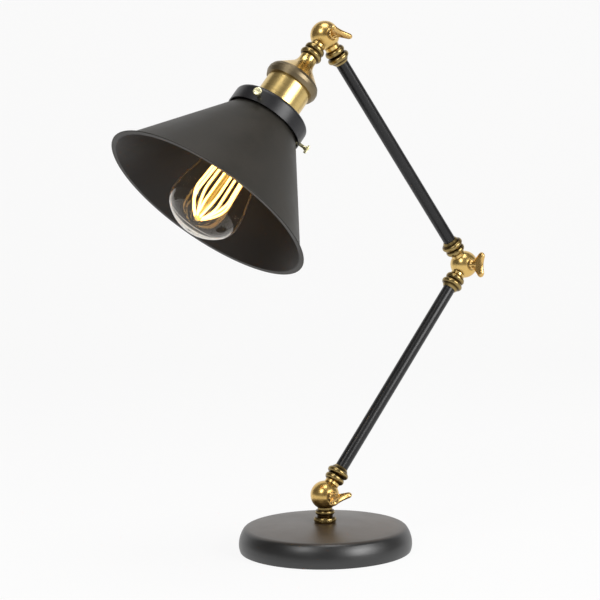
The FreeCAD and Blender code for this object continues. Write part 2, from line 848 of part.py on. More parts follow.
# Gallery: the black cup on the lampholder that carries the shade, with three tapped holes.
size("gallery_radius", 34.5, "radius of the gallery")
size("gallery_start", 84, "start of the gallery")
size("gallery_end", 98.8, "end of the gallery")
size("gallery_shoulder", 3.5, "radius of the gallery's rounded shoulder")
size("gallery_wall", 1, "wall of the gallery")
size("thumb_at", 94, "distance of the thumb screws along the head")
size("thumb_first", -40, "direction of the first thumb screw round the head")
size("thumb_radius", 1.5, "radius of a thumb screw's shank")
size("thumb_count", 3, "how many thumb screws there are")

gallery = new_body("gallery")
turn(
    gallery,
    [
        ("holder_radius + 0.05", "gallery_start"),
        ("gallery_radius - gallery_shoulder", "gallery_start"),
        ("gallery_radius", "gallery_start + gallery_shoulder", "gallery_shoulder", "left"),
        ("gallery_radius", "gallery_end"),
        ("gallery_radius - gallery_wall", "gallery_end"),
        ("gallery_radius - gallery_wall", "gallery_start + gallery_shoulder"),
        (
            "gallery_radius - gallery_shoulder",
            "gallery_start + gallery_wall",
            "gallery_shoulder - gallery_wall",
            "right",
        ),
        ("holder_radius + 0.05", "gallery_start + gallery_wall"),
    ],
)
thumb_hole = cylinder(
    gallery,
    "Subtractive",
    "thumb_radius + 0.05",
    "gallery_radius",
    z="thumb_at",
    turn="90",
    about="-sin(thumb_first * 1deg); cos(thumb_first * 1deg); 0",
)
repeat(gallery, thumb_hole, "thumb_count")
put_on(gallery, "head", "head_lean")

# Gallery ring: the threaded ring that holds the gallery on the lampholder's body.
size("ring_radius", 24.5, "radius of the gallery ring")
size("ring_height", 3, "height of the gallery ring")

gallery_ring = new_body("gallery_ring")
turn(
    gallery_ring,
    [
        ("holder_radius + 0.02", "gallery_start + gallery_wall"),
        ("ring_radius", "gallery_start + gallery_wall"),
        ("ring_radius", "gallery_start + gallery_wall + ring_height - 0.5"),
        ("ring_radius - 0.5", "gallery_start + gallery_wall + ring_height"),
        ("holder_radius + 0.02", "gallery_start + gallery_wall + ring_height"),
    ],
)
put_on(gallery_ring, "head", "head_lean")

# Shade: a spun steel cone with a collar and a lip inside the gallery and a turned-out rim.
size("shade_lip", 32.6, "radius of the lip on the shade's collar")
size("shade_collar", 30.2, "radius of the shade's collar")
size("shade_lip_start", 91.2, "start of the lip")
size("shade_cone_start", 96.8, "where the collar turns into the cone")
size("shade_rim_radius", 92.5, "radius of the shade's rim")
size("shade_cone_radius", 88.9, "radius where the cone turns into the rim")
size("shade_end", 185.9, "end of the shade, its rim's plane")
size("shade_wall", 1, "thickness of the shade")

shade = new_body("shade")
turn(
    shade,
    [
        ("shade_collar - shade_wall", "shade_lip_start"),
        ("shade_lip", "shade_lip_start"),
        ("shade_lip", "shade_lip_start + shade_wall"),
        ("shade_collar", "shade_lip_start + shade_wall"),
        ("shade_collar", "shade_cone_start"),
        ("shade_cone_radius", "shade_end - 1.2 * shade_wall"),
        ("shade_rim_radius - shade_wall / 2", "shade_end - shade_wall"),
        ("shade_rim_radius - shade_wall / 2", "shade_end", "shade_wall / 2 + 0.001", "left"),
        ("shade_cone_radius - 0.8 * shade_wall", "shade_end - 0.2 * shade_wall"),
        ("shade_collar - shade_wall", "shade_cone_start + 0.3 * shade_wall"),
    ],
)
put_on(shade, "head", "head_lean")

# Thumb screws: three knurled screws through the gallery that grip the shade's collar. One is drawn
# along +X and turned to its place.
size("thumb_tip", 30.4, "distance of a thumb screw's tip from the axis")
size("thumb_neck", 40.6, "distance of the underside of a thumb screw's head")
size("thumb_head_length", 2.4, "thickness of a thumb screw's head")
size("thumb_head_radius", 3.8, "radius of a thumb screw's head")

for place in range(int(amount("thumb_count"))):
    thumb = new_body(f"thumb_screw_{place + 1}")
    turn(
        thumb,
        [
            ("0", "thumb_tip"),
            ("thumb_radius - 0.5", "thumb_tip"),
            ("thumb_radius", "thumb_tip + 0.5"),
            ("thumb_radius", "thumb_neck"),
            ("thumb_head_radius - 0.5", "thumb_neck"),
            ("thumb_head_radius", "thumb_neck + 0.5"),
            ("thumb_head_radius", "thumb_neck + thumb_head_length - 0.6"),
            ("thumb_head_radius - 0.6", "thumb_neck + thumb_head_length", "0.6", "left"),
            ("0", "thumb_neck + thumb_head_length"),
        ],
    )
    x, z = JOINT_AT["head"]
    thumb.setExpression(
        "Placement",
        formula(
            f"placement(vector({x}; 0; {z}); rotation(vector(0; 1; 0); head_lean))"
            " * placement(vector(0; 0; thumb_at);"
            f" rotation(vector(0; 0; 1); thumb_first + {place} * 360 / thumb_count))"
            " * placement(vector(0; 0; 0); rotation(vector(0; 1; 0); 90))"
        ),
    )

# Spring washers: one under each wing screw's collar, on the near half's flat. The upper arm
# carries two of them.
size("spring_washer_radius", 4.6, "radius of a spring washer")
size("spring_washer_thickness", 1, "thickness of a spring washer")


def spring_washer(body, joint):
    """Adds one washer to a body, on the flat of the named joint."""
    x, z = JOINT_AT[joint]
    for kind, radius in (
        ("Additive", "spring_washer_radius"),
        ("Subtractive", "wing_screw_radius + 0.15"),
    ):
        cylinder(
            body,
            kind,
            radius,
            "spring_washer_thickness",
            x=x,
            y="-spot_depth",
            z=z,
            turn="90",
            about="1; 0; 0",
        )


foot_spring_washer = new_body("foot_spring_washer")
spring_washer(foot_spring_washer, "foot")
upper_arm_spring_washers = new_body("upper_arm_spring_washers")
spring_washer(upper_arm_spring_washers, "elbow")
spring_washer(upper_arm_spring_washers, "head")

# Wing screws: cast brass screws with two rounded wings. One is drawn along +Z from the ball's
# middle with its wings along X, and turned to face -Y.
size("collar_start", 12.15, "underside of a wing screw's collar, from the ball's middle")
size("collar_end", 14.4, "end of a wing screw's collar")
size("collar_radius", 4.6, "radius of a wing screw's collar")
size("boss_end", 18.4, "end of the cone between a wing screw's collar and its wings")
size("boss_radius", 2.9, "radius of that cone's end")
size("shank_tip", 8.5, "reach of the shank into the far half")
size("wing_root", 3.8, "half the width of the wings' root")
size("wing_waist_at", 16.2, "distance of the wings' narrowest place")
size("wing_waist", 3.5, "half the width of the wings' narrowest place")
size("wing_lobe_at", 24.2, "distance of the wings' round ends and of the dip between them")
size("wing_lobe_offset", 7.8, "offset of the middle of a wing's round end")
size("wing_lobe_radius", 3.7, "radius of a wing's round end")
size("wing_thickness", 4.4, "thickness of the wings")
size("wing_round", 1.4, "rounding of the wings' edges")
size("foot_wing_turn", 18, "rise of the foot wing screw's wings")
size("elbow_wing_turn", 86, "rise of the elbow wing screw's wings")
size("head_wing_turn", -20, "rise of the head wing screw's wings")

flare_x = "(wing_lobe_offset - wing_waist)"
flare_z = "(wing_lobe_at - wing_waist_at)"
flare = (
    f"(atan({flare_z} / {flare_x})"
    f" - asin(wing_lobe_radius / sqrt({flare_x}^2 + {flare_z}^2)))"
)
wing_side = f"(wing_lobe_offset + wing_lobe_radius * sin({flare}))"
wing_side_at = f"(wing_lobe_at - wing_lobe_radius * cos({flare}))"
dip_curve = "((wing_lobe_offset^2 - wing_lobe_radius^2) / (2 * wing_lobe_radius))"
dip_share = f"({dip_curve} / ({dip_curve} + wing_lobe_radius))"
wing_top = f"(wing_lobe_offset * {dip_share})"
wing_top_at = f"(wing_lobe_at + wing_lobe_radius * {dip_share})"
for joint in ("foot", "elbow", "head"):
    wing = new_body(joint + "_wing_screw")
    wings = extrude(
        wing,
        [
            ("wing_root", "collar_end - 1.6"),
            ("wing_waist", "wing_waist_at"),
            (wing_side, wing_side_at),
            (wing_top, wing_top_at, "wing_lobe_radius", "left"),
            ("-" + wing_top, wing_top_at, dip_curve, "right"),
            ("-" + wing_side, wing_side_at, "wing_lobe_radius", "left"),
            ("-wing_waist", "wing_waist_at"),
            ("-wing_root", "collar_end - 1.6"),
        ],
        "wing_thickness",
        "XZ_Plane",
    )
    document.recompute()
    flat_sides = [
        f"Face{number}"
        for number, face in enumerate(wings.Shape.Faces, start=1)
        if face.BoundBox.YLength < 0.01
    ]
    rounding = wing.newObject("PartDesign::Fillet", "rounding")
    rounding.Base = (wings, flat_sides)
    bind(rounding, Radius="wing_round")
    turn(
        wing,
        [
            ("0", "-shank_tip"),
            ("wing_screw_radius - 0.5", "-shank_tip"),
            ("wing_screw_radius", "-shank_tip + 0.5"),
            ("wing_screw_radius", "collar_start"),
            ("collar_radius", "collar_start"),
            ("collar_radius", "collar_end - 1"),
            ("collar_radius - 1", "collar_end", "1", "left"),
            ("boss_radius", "boss_end"),
            ("0", "boss_end"),
        ],
    )
    x, z = JOINT_AT[joint]
    wing.setExpression(
        "Placement",
        formula(
            f"placement(vector({x}; 0; {z}); rotation(vector(0; 1; 0); -{joint}_wing_turn))"
            " * placement(vector(0; 0; 0); rotation(vector(1; 0; 0); 90))"
        ),
    )

# Bulb cap: the threaded metal cap, drawn with four rounds for its thread.
size("cap_radius", 13, "radius of the bulb's cap over its thread")
size("cap_groove", 12.4, "radius of the cap between its thread's turns")
size("cap_start", 73, "start of the cap")
size("cap_pitch", 3.6, "pitch of the cap's thread")
size("cap_end", 96, "end of the cap")
size("cap_bore", 12, "inner radius of the cap")

bulb_cap = new_body("bulb_cap")
cap_outline = [("cap_bore", "cap_start"), ("cap_groove", "cap_start")]
for ring in range(4):
    low = f"cap_start + ({ring} + 0.5) * cap_pitch"
    cap_outline.append(("cap_groove", low + " - cap_pitch / 4"))
    cap_outline.append(("cap_radius", low + " + cap_pitch / 4"))
    cap_outline.append(("cap_groove", low + " + cap_pitch * 0.7"))
cap_outline += [
    ("cap_groove", "cap_end - 4"),
    ("cap_radius + 0.4", "cap_end"),
    ("cap_bore", "cap_end"),
]
turn(bulb_cap, cap_outline)
put_on(bulb_cap, "head", "head_lean")

# Bulb insulator and button: the black glass end of the cap and the contact in its middle.
size("button_radius", 4.5, "radius of the bulb's contact button")
size("button_start", 70.6, "end face of the contact button")

bulb_insulator = new_body("bulb_insulator")
turn(
    bulb_insulator,
    [
        ("button_radius + 0.01", "button_start + 0.5"),
        ("cap_bore - 0.05", "cap_start"),
        ("cap_bore - 0.05", "cap_start + 2"),
        ("button_radius + 0.01", "cap_start + 2"),
    ],
)
put_on(bulb_insulator, "head", "head_lean")

bulb_button = new_body("bulb_button")
turn(
    bulb_button,
    [
        ("0", "button_start"),
        ("button_radius - 0.8", "button_start"),
        ("button_radius", "button_start + 0.8", "0.8", "left"),
        ("button_radius", "cap_start + 1"),
        ("0", "cap_start + 1"),
    ],
)
put_on(bulb_button, "head", "head_lean")

# Bulb glass: a thin pear-shaped envelope with a flattened dome.
size("glass_neck", 11.7, "radius of the glass inside the cap")
size("glass_throat", 14, "radius of the glass just past the cap")
size("glass_throat_end", 112, "end of the glass's straight throat")
size("glass_waist", 16, "radius at the end of the throat")
size("glass_cone_radius", 28.6, "radius where the glass's cone ends")
size("glass_cone_end", 169, "end of the glass's cone")
size("glass_radius", 31.3, "widest radius of the glass")
size("glass_equator", 187, "where the glass is widest")
size("glass_side_curve", 20.8, "radius of the dome's side")
size("glass_turn_radius", 27.2, "radius where the dome's side turns into its crown")
size("glass_turn_at", 199.4, "where the dome's side turns into its crown")
size("glass_end", 211.6, "end of the glass")
size("glass_wall", 0.8, "wall of the glass")

swell = "(glass_radius - glass_cone_radius)"
swell_run = "(glass_equator - glass_cone_end)"
swell_curve = f"({swell}^2 + {swell_run}^2) / (2 * {swell})"
crown_rise = "(glass_end - glass_turn_at)"
glass_crown = f"((glass_turn_radius^2 + {crown_rise}^2) / (2 * {crown_rise}))"
crown_share = f"(({glass_crown} - glass_wall) / {glass_crown})"
bulb_glass = new_body("bulb_glass")
turn(
    bulb_glass,
    [
        ("glass_neck - glass_wall", "cap_start + 3"),
        ("glass_neck", "cap_start + 3"),
        ("glass_neck", "cap_end + 0.2"),
        ("glass_throat", "cap_end + 3"),
        ("glass_waist", "glass_throat_end"),
        ("glass_cone_radius", "glass_cone_end"),
        ("glass_radius", "glass_equator", swell_curve, "left"),
        ("glass_turn_radius", "glass_turn_at", "glass_side_curve", "left"),
        ("0", "glass_end", glass_crown, "left"),
        ("0", "glass_end - glass_wall"),
        (
            f"glass_turn_radius * {crown_share}",
            f"glass_end - {glass_crown} + ({glass_crown} - {crown_rise}) * {crown_share}",
            f"{glass_crown} - glass_wall",
            "right",
        ),
        (
            "glass_radius - glass_wall",
            "glass_equator",
            "glass_side_curve - glass_wall",
            "right",
        ),
        (
            "glass_cone_radius - glass_wall",
            "glass_cone_end",
            swell_curve,
            "right",
        ),
        ("glass_waist - glass_wall", "glass_throat_end"),
        ("glass_throat - glass_wall", "cap_end + 3"),
        ("glass_neck - glass_wall", "cap_end + 0.2"),
    ],
)
put_on(bulb_glass, "head", "head_lean")

# Bulb mount: the glass flare and rod up the bulb's middle, with a button near the dome.
size("mount_flare", 8, "radius of the mount's flare")
size("mount_flare_start", 92, "start of the mount's flare")
size("mount_neck_at", 112, "where the flare turns into the rod")
size("rod_radius", 1.5, "radius of the mount's rod")
size("hub_at", 198, "distance of the hub along the head")
size("hub_button", 2.8, "radius of the hub at the rod's end")

bulb_mount = new_body("bulb_mount")
turn(
    bulb_mount,
    [
        ("0", "mount_flare_start"),
        ("mount_flare", "mount_flare_start"),
        ("2 * rod_radius", "mount_neck_at"),
        ("rod_radius", "mount_neck_at + 4"),
        ("rod_radius", "hub_at - 3"),
        ("hub_button", "hub_at - 1.5"),
        ("hub_button", "hub_at + 1.5"),
        ("rod_radius", "hub_at + 3"),
        ("0", "hub_at + 3"),
    ],
)
put_on(bulb_mount, "head", "head_lean")

# Filament: eight long wires in a cage, from a ring of hooks near the throat to the hub, each
# straight for most of its length and bent in at the hub.
size("cage_count", 8, "how many wires the cage has")
size("wire_radius", 0.5, "radius of a filament wire")
size("cage_start", 134, "start of the cage")
size("cage_foot_radius", 13, "radius of the cage at its start")
size("cage_radius", 16, "radius of the cage where its wires bend in")
size("cage_bend_at", 178, "where the wires bend in")
size("cage_phase", 11, "turn of the cage about the bulb's axis")

wire_start = Vector(amount("cage_foot_radius"), 0, amount("cage_start"))
wire_bend = Vector(amount("cage_radius"), 0, amount("cage_bend_at"))
wire_end = Vector(amount("hub_button + 0.3"), 0, amount("hub_at"))


def cage_wire():
    """Builds one wire of the cage in the XZ plane: a straight and the arc that leaves it smoothly
    and ends at the hub."""
    chord = wire_end - wire_bend
    bend = (wire_bend - wire_start).getAngle(chord)
    sagitta = chord.Length / 2 * math.tan(bend / 2)
    outward = Vector(chord.z, 0, -chord.x).normalize()
    middle = (wire_bend + wire_end) / 2 + outward * sagitta
    straight = Part.LineSegment(wire_start, wire_bend).toShape()
    bent = Part.Arc(wire_bend, middle, wire_end).toShape()
    section = Part.Circle(wire_start, wire_bend - wire_start, amount("wire_radius")).toShape()
    return Part.Wire([straight, bent]).makePipeShell([Part.Wire([section])], True, False)


filament = document.addObject("Part::Feature", "filament")
filament.Label = "filament"
one_wire = cage_wire()
cage = []
for place in range(int(amount("cage_count"))):
    wire = one_wire.copy()
    around = amount(f"cage_phase + {place} * 360 / cage_count")
    wire.rotate(Vector(), Vector(0, 0, 1), around)
    cage.append(wire)
filament.Shape = Part.makeCompound(cage)
put_on(filament, "head", "head_lean")
sub_parts.append(filament)

# Support wires: eight spokes that hold the cage's wires near the throat.
size("support_radius", 0.35, "radius of a support wire")

supports = new_body("filament_supports")
spoke = cylinder(
    supports,
    "Additive",
    "support_radius",
    "cage_foot_radius - wire_radius - 0.2 - rod_radius",
    x="(rod_radius + 0.01) * cos(cage_phase * 1deg)",
    y="(rod_radius + 0.01) * sin(cage_phase * 1deg)",
    z="cage_start + 1",
    turn="90",
    about="-sin(cage_phase * 1deg); cos(cage_phase * 1deg); 0",
)
repeat(supports, spoke, "cage_count")
put_on(supports, "head", "head_lean")

# Check every object, then write each sub-part's shape.
document.recompute()
for item in document.Objects:
    if any(state in ("Invalid", "Error") for state in item.State):
        raise RuntimeError(f"{item.Label} failed: {item.State}")
os.makedirs("parts", exist_ok=True)
for part in sub_parts:
    shape = part.Shape
    if shape.isNull() or not shape.isValid() or not shape.Solids:
        raise RuntimeError(f"{part.Label} has no valid shape")
    shape.exportStep(f"parts/{part.Label}.step")
print(len(sub_parts), "sub-parts written")
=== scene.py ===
import json
import math

import bmesh
import bpy
from mathutils import Matrix, Vector


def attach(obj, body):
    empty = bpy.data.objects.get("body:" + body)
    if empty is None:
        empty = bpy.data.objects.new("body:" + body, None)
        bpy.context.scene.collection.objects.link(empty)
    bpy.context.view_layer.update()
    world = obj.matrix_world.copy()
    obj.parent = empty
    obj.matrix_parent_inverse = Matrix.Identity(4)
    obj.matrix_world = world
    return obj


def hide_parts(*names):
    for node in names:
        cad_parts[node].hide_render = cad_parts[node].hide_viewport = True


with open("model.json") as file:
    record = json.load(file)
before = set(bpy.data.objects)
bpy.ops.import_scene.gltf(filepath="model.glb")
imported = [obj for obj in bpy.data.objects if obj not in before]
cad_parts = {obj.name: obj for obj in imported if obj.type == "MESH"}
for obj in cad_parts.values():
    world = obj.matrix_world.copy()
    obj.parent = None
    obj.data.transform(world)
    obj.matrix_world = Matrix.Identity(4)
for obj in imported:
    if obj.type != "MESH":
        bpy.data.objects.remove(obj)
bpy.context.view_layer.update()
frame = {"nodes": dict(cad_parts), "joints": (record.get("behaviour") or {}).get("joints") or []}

# The view: the photograph was taken from the front left, a little above the elbow, with a long
# lens. The three angles are the heading, the downward tilt and the roll of the camera.
VIEW_FROM, VIEW_LENS, VIEW_SENSOR = (-0.6992, -1.0399, 0.2937), 87.78, 36
VIEW_HEADING, VIEW_TILT, VIEW_ROLL = (math.radians(a) for a in (33.05, 3.507, -0.846))
level_right = Vector((math.cos(VIEW_HEADING), -math.sin(VIEW_HEADING), 0))
level_ahead = Vector((math.sin(VIEW_HEADING), math.cos(VIEW_HEADING), 0))
view_ahead = level_ahead * math.cos(VIEW_TILT) - Vector((0, 0, math.sin(VIEW_TILT)))
view_rise = level_ahead * math.sin(VIEW_TILT) + Vector((0, 0, math.cos(VIEW_TILT)))
view_right = level_right * math.cos(VIEW_ROLL) + view_rise * math.sin(VIEW_ROLL)
view_up = view_rise * math.cos(VIEW_ROLL) - level_right * math.sin(VIEW_ROLL)
camera = bpy.data.objects.new("camera", bpy.data.cameras.new("camera"))
bpy.context.scene.collection.objects.link(camera)
camera.matrix_world = Matrix.Translation(VIEW_FROM) @ Matrix(
    (
        (view_right.x, view_up.x, -view_ahead.x, 0),
        (view_right.y, view_up.y, -view_ahead.y, 0),
        (view_right.z, view_up.z, -view_ahead.z, 0),
        (0, 0, 0, 1),
    )
)
camera.data.sensor_width = VIEW_SENSOR
camera.data.lens = VIEW_LENS
camera.data.clip_start = 0.05
bpy.context.scene.camera = camera

# The table and the backdrop: a pale sweep of paper that curves up behind the lamp. It looks nearly
# white where it is seen, mirrored or seen through glass, and it still takes the lamp's shadow.
sweep = bpy.data.objects.new("paper_sweep", bpy.data.meshes.new("paper_sweep"))
bpy.context.scene.collection.objects.link(sweep)
sweep_shape = bmesh.new()
SWEEP_BACK, SWEEP_BEND, SWEEP_TOP, SWEEP_FRONT, SWEEP_HALF = 1.5, 0.6, 3.4, -3.0, 3.2
SWEEP_STEPS, PAPER_WHITENESS = 12, 0.91
sweep_line = [(SWEEP_FRONT, 0.0)]
sweep_line += [
    (
        SWEEP_BACK + SWEEP_BEND * math.sin(math.radians(90 * step / SWEEP_STEPS)),
        SWEEP_BEND * (1 - math.cos(math.radians(90 * step / SWEEP_STEPS))),
    )
    for step in range(SWEEP_STEPS + 1)
]
sweep_line.append((SWEEP_BACK + SWEEP_BEND, SWEEP_TOP))
sweep_rows = [
    [
        sweep_shape.verts.new(level_ahead * ahead + level_right * side + Vector((0, 0, up)))
        for side in (-SWEEP_HALF, SWEEP_HALF)
    ]
    for ahead, up in sweep_line
]
for low, high in zip(sweep_rows, sweep_rows[1:]):
    sweep_shape.faces.new((low[0], low[1], high[1], high[0])).smooth = True
sweep_shape.to_mesh(sweep.data)
paper = bpy.data.materials.new("paper")
paper.use_nodes = True
paper_nodes, paper_links = paper.node_tree.nodes, paper.node_tree.links
paper_matt = paper_nodes["Principled BSDF"]
paper_matt.inputs["Base Color"].default_value = (0.9, 0.9, 0.9, 1)
paper_matt.inputs["Roughness"].default_value = 0.9
paper_white = paper_nodes.new("ShaderNodeEmission")
paper_white.inputs["Color"].default_value = (1, 1, 1, 1)
paper_seen = paper_nodes.new("ShaderNodeLightPath")
paper_any = paper_nodes.new("ShaderNodeMath")
paper_any.operation = "MAXIMUM"
paper_mirrored = paper_nodes.new("ShaderNodeMath")
paper_mirrored.operation = "MAXIMUM"
paper_share = paper_nodes.new("ShaderNodeMath")
paper_share.operation = "MULTIPLY"
paper_share.inputs[1].default_value = PAPER_WHITENESS
paper_mix = paper_nodes.new("ShaderNodeMixShader")
paper_links.new(paper_seen.outputs["Is Camera Ray"], paper_any.inputs[0])
paper_links.new(paper_seen.outputs["Is Glossy Ray"], paper_mirrored.inputs[0])
paper_links.new(paper_seen.outputs["Is Transmission Ray"], paper_mirrored.inputs[1])
paper_links.new(paper_mirrored.outputs[0], paper_any.inputs[1])
paper_links.new(paper_any.outputs[0], paper_share.inputs[0])
paper_links.new(paper_share.outputs[0], paper_mix.inputs["Fac"])
paper_links.new(paper_matt.outputs[0], paper_mix.inputs[1])
paper_links.new(paper_white.outputs[0], paper_mix.inputs[2])
paper_links.new(paper_mix.outputs[0], paper_nodes["Material Output"].inputs["Surface"])
sweep.data.materials.append(paper)

# The studio light: a dark warm room, which the metal mirrors at its edges, one large soft box on
# the right of the camera that draws the streaks, a weaker one on the left and one overhead.
studio = bpy.data.worlds.new("studio")
studio.use_nodes = True
studio.node_tree.nodes["Background"].inputs["Color"].default_value = (0.5, 0.47, 0.44, 1)
studio.node_tree.nodes["Background"].inputs["Strength"].default_value = 0.3
bpy.context.scene.world = studio
bpy.context.scene.view_settings.view_transform = "Standard"
LAMP_MIDDLE = Vector((0, 0, 0.24))


def soft_box(name, heading, height, distance, size, watts):
    """Hangs one soft box, by its angle from the camera's line of view, facing the lamp."""
    light = bpy.data.objects.new(name, bpy.data.lights.new(name, "AREA"))
    bpy.context.scene.collection.objects.link(light)
    side = VIEW_HEADING - math.radians(heading)
    light.location = LAMP_MIDDLE + distance * Vector(
        (
            -math.sin(side) * math.cos(math.radians(height)),
            -math.cos(side) * math.cos(math.radians(height)),
            math.sin(math.radians(height)),
        )
    )
    light.rotation_mode = "QUATERNION"
    light.rotation_quaternion = (light.location - LAMP_MIDDLE).to_track_quat("Z", "Y")
    light.data.shape = "RECTANGLE"
    light.data.size, light.data.size_y = size
    light.data.energy = watts


soft_box("box_right", 50, 20, 1.9, (1.1, 0.8), 23)
soft_box("box_left", -34, 36, 1.9, (0.45, 0.7), 9)
soft_box("box_top", 4, 80, 1.7, (0.8, 0.8), 10)

# The base: a spun steel dome in satin black stoving enamel. A cast iron disc inside gives it its
# weight, and a steel plate, held by three countersunk screws, closes it underneath. Its nearly flat
# top is painted browner than its rounded side: a painted reflection of warm surroundings, seen at a
# grazing angle.
MM = 0.001


def finish(name, colour, metal, rough, **sockets):
    """Starts a finish: what is the same all over goes straight on the shader's own sockets."""
    material = bpy.data.materials.new(name)
    material.use_nodes = True
    shader = material.node_tree.nodes["Principled BSDF"]
    shader.inputs["Base Color"].default_value = (*colour, 1)
    shader.inputs["Metallic"].default_value = metal
    shader.inputs["Roughness"].default_value = rough
    for socket, setting in sockets.items():
        shader.inputs[socket.replace("_", " ")].default_value = setting
    return material


def place_of(material, at=(0, 0, 0), lean=0.0):
    """Gives a finish the piece's own coordinates in millimetres: +Z along the piece's axis."""
    nodes, links = material.node_tree.nodes, material.node_tree.links
    where = nodes.new("ShaderNodeTexCoord")
    local = nodes.new("ShaderNodeMapping")
    local.vector_type = "TEXTURE"
    local.inputs["Location"].default_value = at
    local.inputs["Rotation"].default_value = (0, math.radians(lean), 0)
    local.inputs["Scale"].default_value = (MM, MM, MM)
    links.new(where.outputs["Object"], local.inputs["Vector"])
    return local.outputs["Vector"]


def grain(material, coords, stretch, size, detail=3.0, roughness=0.6):
    """A noise over a piece, with one grain of the given size in millimetres, drawn out by stretch."""
    nodes, links = material.node_tree.nodes, material.node_tree.links
    drawn = nodes.new("ShaderNodeMapping")
    drawn.inputs["Scale"].default_value = [1 / (size * way) for way in stretch]
    noise = nodes.new("ShaderNodeTexNoise")
    noise.inputs["Scale"].default_value = 1.0
    noise.inputs["Detail"].default_value = detail
    noise.inputs["Roughness"].default_value = roughness
    links.new(coords, drawn.inputs["Vector"])
    links.new(drawn.outputs["Vector"], noise.inputs["Vector"])
    return noise.outputs["Fac"]


def shades(material, mask, stops):
    """Turns a mask from 0 to 1 into colours."""
    ramp = material.node_tree.nodes.new("ShaderNodeValToRGB")
    ramp.color_ramp.interpolation = "EASE"
    elements = ramp.color_ramp.elements
    for place, (stop, colour) in enumerate(stops):
        element = elements[place] if place < 2 else elements.new(stop)
        element.position = stop
        element.color = (*colour, 1)
    material.node_tree.links.new(mask, ramp.inputs["Fac"])
    return ramp.outputs["Color"]


def levels(material, mask, low, high, start=0.3, end=0.7):
    """Turns a mask into a number between low and high."""
    spread = material.node_tree.nodes.new("ShaderNodeMapRange")
    spread.inputs["From Min"].default_value = start
    spread.inputs["From Max"].default_value = end
    spread.inputs["To Min"].default_value = low
    spread.inputs["To Max"].default_value = high
    material.node_tree.links.new(mask, spread.inputs["Value"])
    return spread.outputs["Result"]


def blended(material, mask, first, second, way="MIX"):
    """Mixes two colours by a mask."""
    mix = material.node_tree.nodes.new("ShaderNodeMix")
    mix.data_type = "RGBA"
    mix.blend_type = way
    links = material.node_tree.links
    sockets = (mix.inputs["Factor"], mix.inputs[6], mix.inputs[7])
    for socket, given in zip(sockets, (mask, first, second)):
        if hasattr(given, "is_linked"):
            links.new(given, socket)
        else:
            socket.default_value = given if isinstance(given, float) else (*given, 1)
    return mix.outputs[2]


def coat(material, colour=None, rough=None, dents=None, depth=0.02, strength=1.0):
    """Puts the colour, the roughness and the dents of a finish on its shader."""
    nodes, links = material.node_tree.nodes, material.node_tree.links
    shader = nodes["Principled BSDF"]
    if colour is not None:
        links.new(colour, shader.inputs["Base Color"])
    if rough is not None:
        links.new(rough, shader.inputs["Roughness"])
    if dents is not None:
        bump = nodes.new("ShaderNodeBump")
        bump.inputs["Distance"].default_value = depth * MM
        bump.inputs["Strength"].default_value = strength
        links.new(dents, bump.inputs["Height"])
        links.new(bump.outputs["Normal"], shader.inputs["Normal"])


def dress(material, *names):
    """Puts a finish on CAD pieces as they are."""
    for name in names:
        frame["nodes"][name].data.materials.clear()
        frame["nodes"][name].data.materials.append(material)


def black_enamel(name, dark, light, at=(0, 0, 0), lean=0.0, rough=(0.42, 0.52), level=0.4):
    """Satin black stoving enamel: a faint orange peel, cloudy sheen and a little dust."""
    enamel = finish(name, light, 0.0, rough[0], Specular_IOR_Level=level)
    coords = place_of(enamel, at, lean)
    clouds = grain(enamel, coords, (1, 1, 1), 30, 4)
    peel = grain(enamel, coords, (1, 1, 1), 0.9, 2)
    dust = grain(enamel, coords, (1, 1, 1), 0.35, 5, 0.8)
    base = shades(enamel, clouds, [(0.35, dark), (0.65, light)])
    specks = levels(enamel, dust, 0.0, 0.35, 0.66, 0.8)
    worn = blended(enamel, specks, base, [c * 2.2 for c in light])
    coat(enamel, worn, levels(enamel, clouds, *rough), peel, 0.012)
    return enamel


# The warm brown on the top, from BASE_EDGE up to BASE_TOP in height, is a painted reflection of warm
# surroundings at a grazing angle.
BASE_EDGE, BASE_TOP, BASE_TOP_PAINTED_REFLECTION = 19.0, 21.5, (0.056, 0.037, 0.021)
base_enamel = black_enamel(
    "base_enamel", (0.004, 0.0045, 0.005), (0.006, 0.0065, 0.007), rough=(0.36, 0.42), level=0.9
)
base_split = base_enamel.node_tree.nodes.new("ShaderNodeSeparateXYZ")
base_enamel.node_tree.links.new(place_of(base_enamel), base_split.inputs["Vector"])
base_shader = base_enamel.node_tree.nodes["Principled BSDF"]
base_side = base_shader.inputs["Base Color"].links[0].from_socket
base_top_painted_reflection = levels(base_enamel, base_split.outputs["Z"], 0.0, 1.0, BASE_EDGE, BASE_TOP)
coat(base_enamel, blended(base_enamel, base_top_painted_reflection, base_side, BASE_TOP_PAINTED_REFLECTION))
dress(base_enamel, "base_shell")

iron = finish("cast_iron", (0.1, 0.095, 0.09), 0.6, 0.7)
iron_place = place_of(iron)
iron_sand = grain(iron, iron_place, (1, 1, 1), 1.2, 6, 0.7)
coat(
    iron,
    shades(iron, iron_sand, [(0.3, (0.06, 0.055, 0.05)), (0.7, (0.16, 0.14, 0.13))]),
    levels(iron, iron_sand, 0.6, 0.85),
    iron_sand,
    0.25,
)
dress(iron, "base_weight")


def plated_steel(name, colour, turned=False, at=(0, 0, 0), lean=0.0):
    """Zinc-plated steel, rolled or turned, with its fine lines."""
    steel = finish(name, colour, 1.0, 0.35)
    coords = place_of(steel, at, lean)
    lines = grain(steel, coords, (40, 40, 1) if turned else (60, 1, 60), 0.35, 4)
    clouds = grain(steel, coords, (1, 1, 1), 7, 3)
    tone = shades(
        steel, clouds, [(0.3, [c * 0.8 for c in colour]), (0.7, [min(1, c * 1.1) for c in colour])]
    )
    coat(steel, tone, levels(steel, lines, 0.26, 0.46), lines, 0.01)
    return steel


dress(plated_steel("plate_steel", (0.55, 0.56, 0.58)), "base_plate")
dress(plated_steel("fixing_steel", (0.5, 0.5, 0.52), True), "plate_screws", "foot_washer", "foot_nut")


